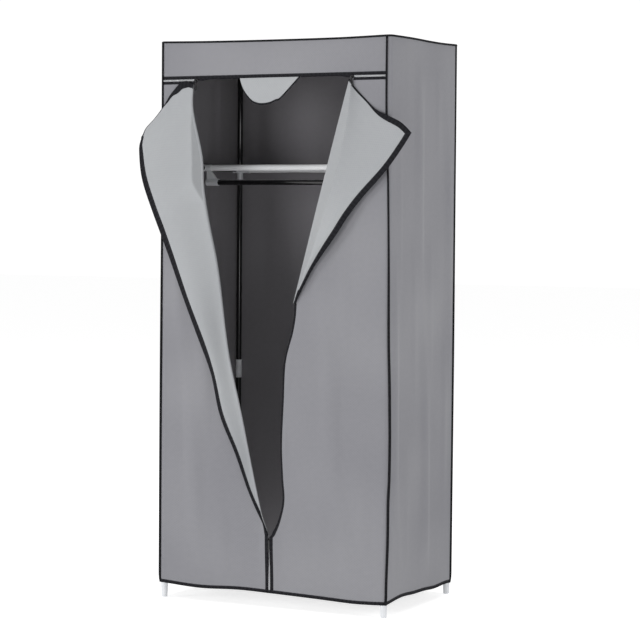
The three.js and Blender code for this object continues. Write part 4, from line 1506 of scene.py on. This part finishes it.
bridge_height = 5.2
body_drop = 0.6  # how far the middle of a top slider's body lies below the zip line
flange_side = 3.9
lug_side = 3.1
eye_radius = 2.1
boat = boat_outline(13, 9.8, 7.4)
flange = [[-4, -0.4], [4, -0.4], [4, 0.4], [-4, 0.4]]
lug = [[-1.5, 1.6], [-1.4, 4.6], [-0.8, 5.8], [0.8, 5.8], [1.4, 4.6], [1.5, 1.6]]
pin = [[0.3, -3.2], [0.8, -3.2], [0.8, 3.2], [0.3, 3.2]]
tab = tab_outline(24, 4.4, 7)
for side, heading in {"left": -x_axis, "right": x_axis, "centre": -z_axis}.items():
    low, high = box_mm("slider_" + side)
    centre = (low + high) / 2
    centre[1] = high[1]
    # the body lies over the coil: its top plate clears the bars and a flange runs down each side
    body = centre.copy()
    if side != "centre":
        body[2] = zip_line - body_drop
    beside = np.cross(-y_axis, heading)
    lying = (-heading, beside, -y_axis)
    standing = (z_axis, -y_axis, x_axis)
    piece = fuse("cast_slider_" + side, [
        chamfered_plate(boat, body, 1.1, 2.6, 0.5, *lying),
        *(chamfered_plate(flange, body + way * beside, 0.6, 1.8, 0.1, *lying)
          for way in (-flange_side, flange_side)),
        *(chamfered_plate(lug, centre + way * x_axis, -0.6, 0.6, 0.15, *standing)
          for way in (-lug_side, lug_side)),
        turned(pin, centre - bridge_height * y_axis, x_axis, sides=12),
    ], [zip_zinc], sharp=35)
    settle(piece, side + "_slider", "zip_metal", "slider_" + side)

    hinge = middle_mm("pull_" + side)
    hinge[2] = box_mm("pull_" + side)[1][2] - eye_radius
    eye = turned(pipe_profile(eye_radius, 1.2, 4.4, 0.3), hinge - 2.2 * x_axis, x_axis, sides=20, ring=True)
    plate = chamfered_plate(tab, hinge - 2.6 * z_axis, -0.7, 0.7, 0.3, -z_axis, x_axis, -y_axis)
    put_piece("stamped_pull_" + side, join_shells([eye, plate]), [zip_zinc], "zip_metal",
              "pull_" + side, body=side + "_pull", sharp=35)

# %% [markdown]
# Rows of lockstitch hold every tape. Each stitch is a small spindle of thread lying on
# the surface; real stitches are 3 mm long, and so are these.

# %% Stitching
stitch_pitch = 4.0
hem_seam_share = 0.8  # how far across each tape its seam lies
header_seam_share = 0.82
seam_share = 0.85
door_seam = 7.5  # mm above the doors' hem
long_edge_start = 85  # from just before the corners' tape turns down the long edge
stitch = capsule(3.0, 0.28, around=5)


def stitch_row(surface, line, inside=False):
    """Stitches spaced evenly along a line of (p, q) on a surface, lifted off its outer or inner face."""
    p, q = line.T
    out = out_of(surface, p, q)
    lift = -(cloth_thickness + tape_proud) if inside else tape_proud

    def along(tangent, normal):
        return (tangent, unit(np.cross(normal, tangent)), normal), 0
    return repeated(stitch, surface(p, q) + lift * out, out, stitch_pitch, stitch_pitch / 2, along)


def put_stitches(name, shells, body="root"):
    """Settles rows of stitches as one piece."""
    put_sewing(name, shells, body, thread, 80)


fine = np.linspace(0.002, 0.998, 400)
put_stitches("hem_stitches", [
    stitch_row(surface, pairs(fine, hem_seam_share * hem_share)) for surface in wall_surfaces.values()
])
put_stitches("front_stitches", [
    stitch_row(header_surface, pairs(fine, header_seam_share * header_share)),
    *(stitch_row(surface, pairs(fine, door_seam * door_share)) for surface in door_surfaces.values()),
])
for side, surface in flap_surfaces.items():
    raw, _, seen_line = (line[long_edge_start:] for line in flap_lines[side])
    row = stitch_row(surface, raw + seam_share * (seen_line - raw), inside=True)
    put_stitches(f"flap_stitches_{side}", [row], hinge_bend[side])
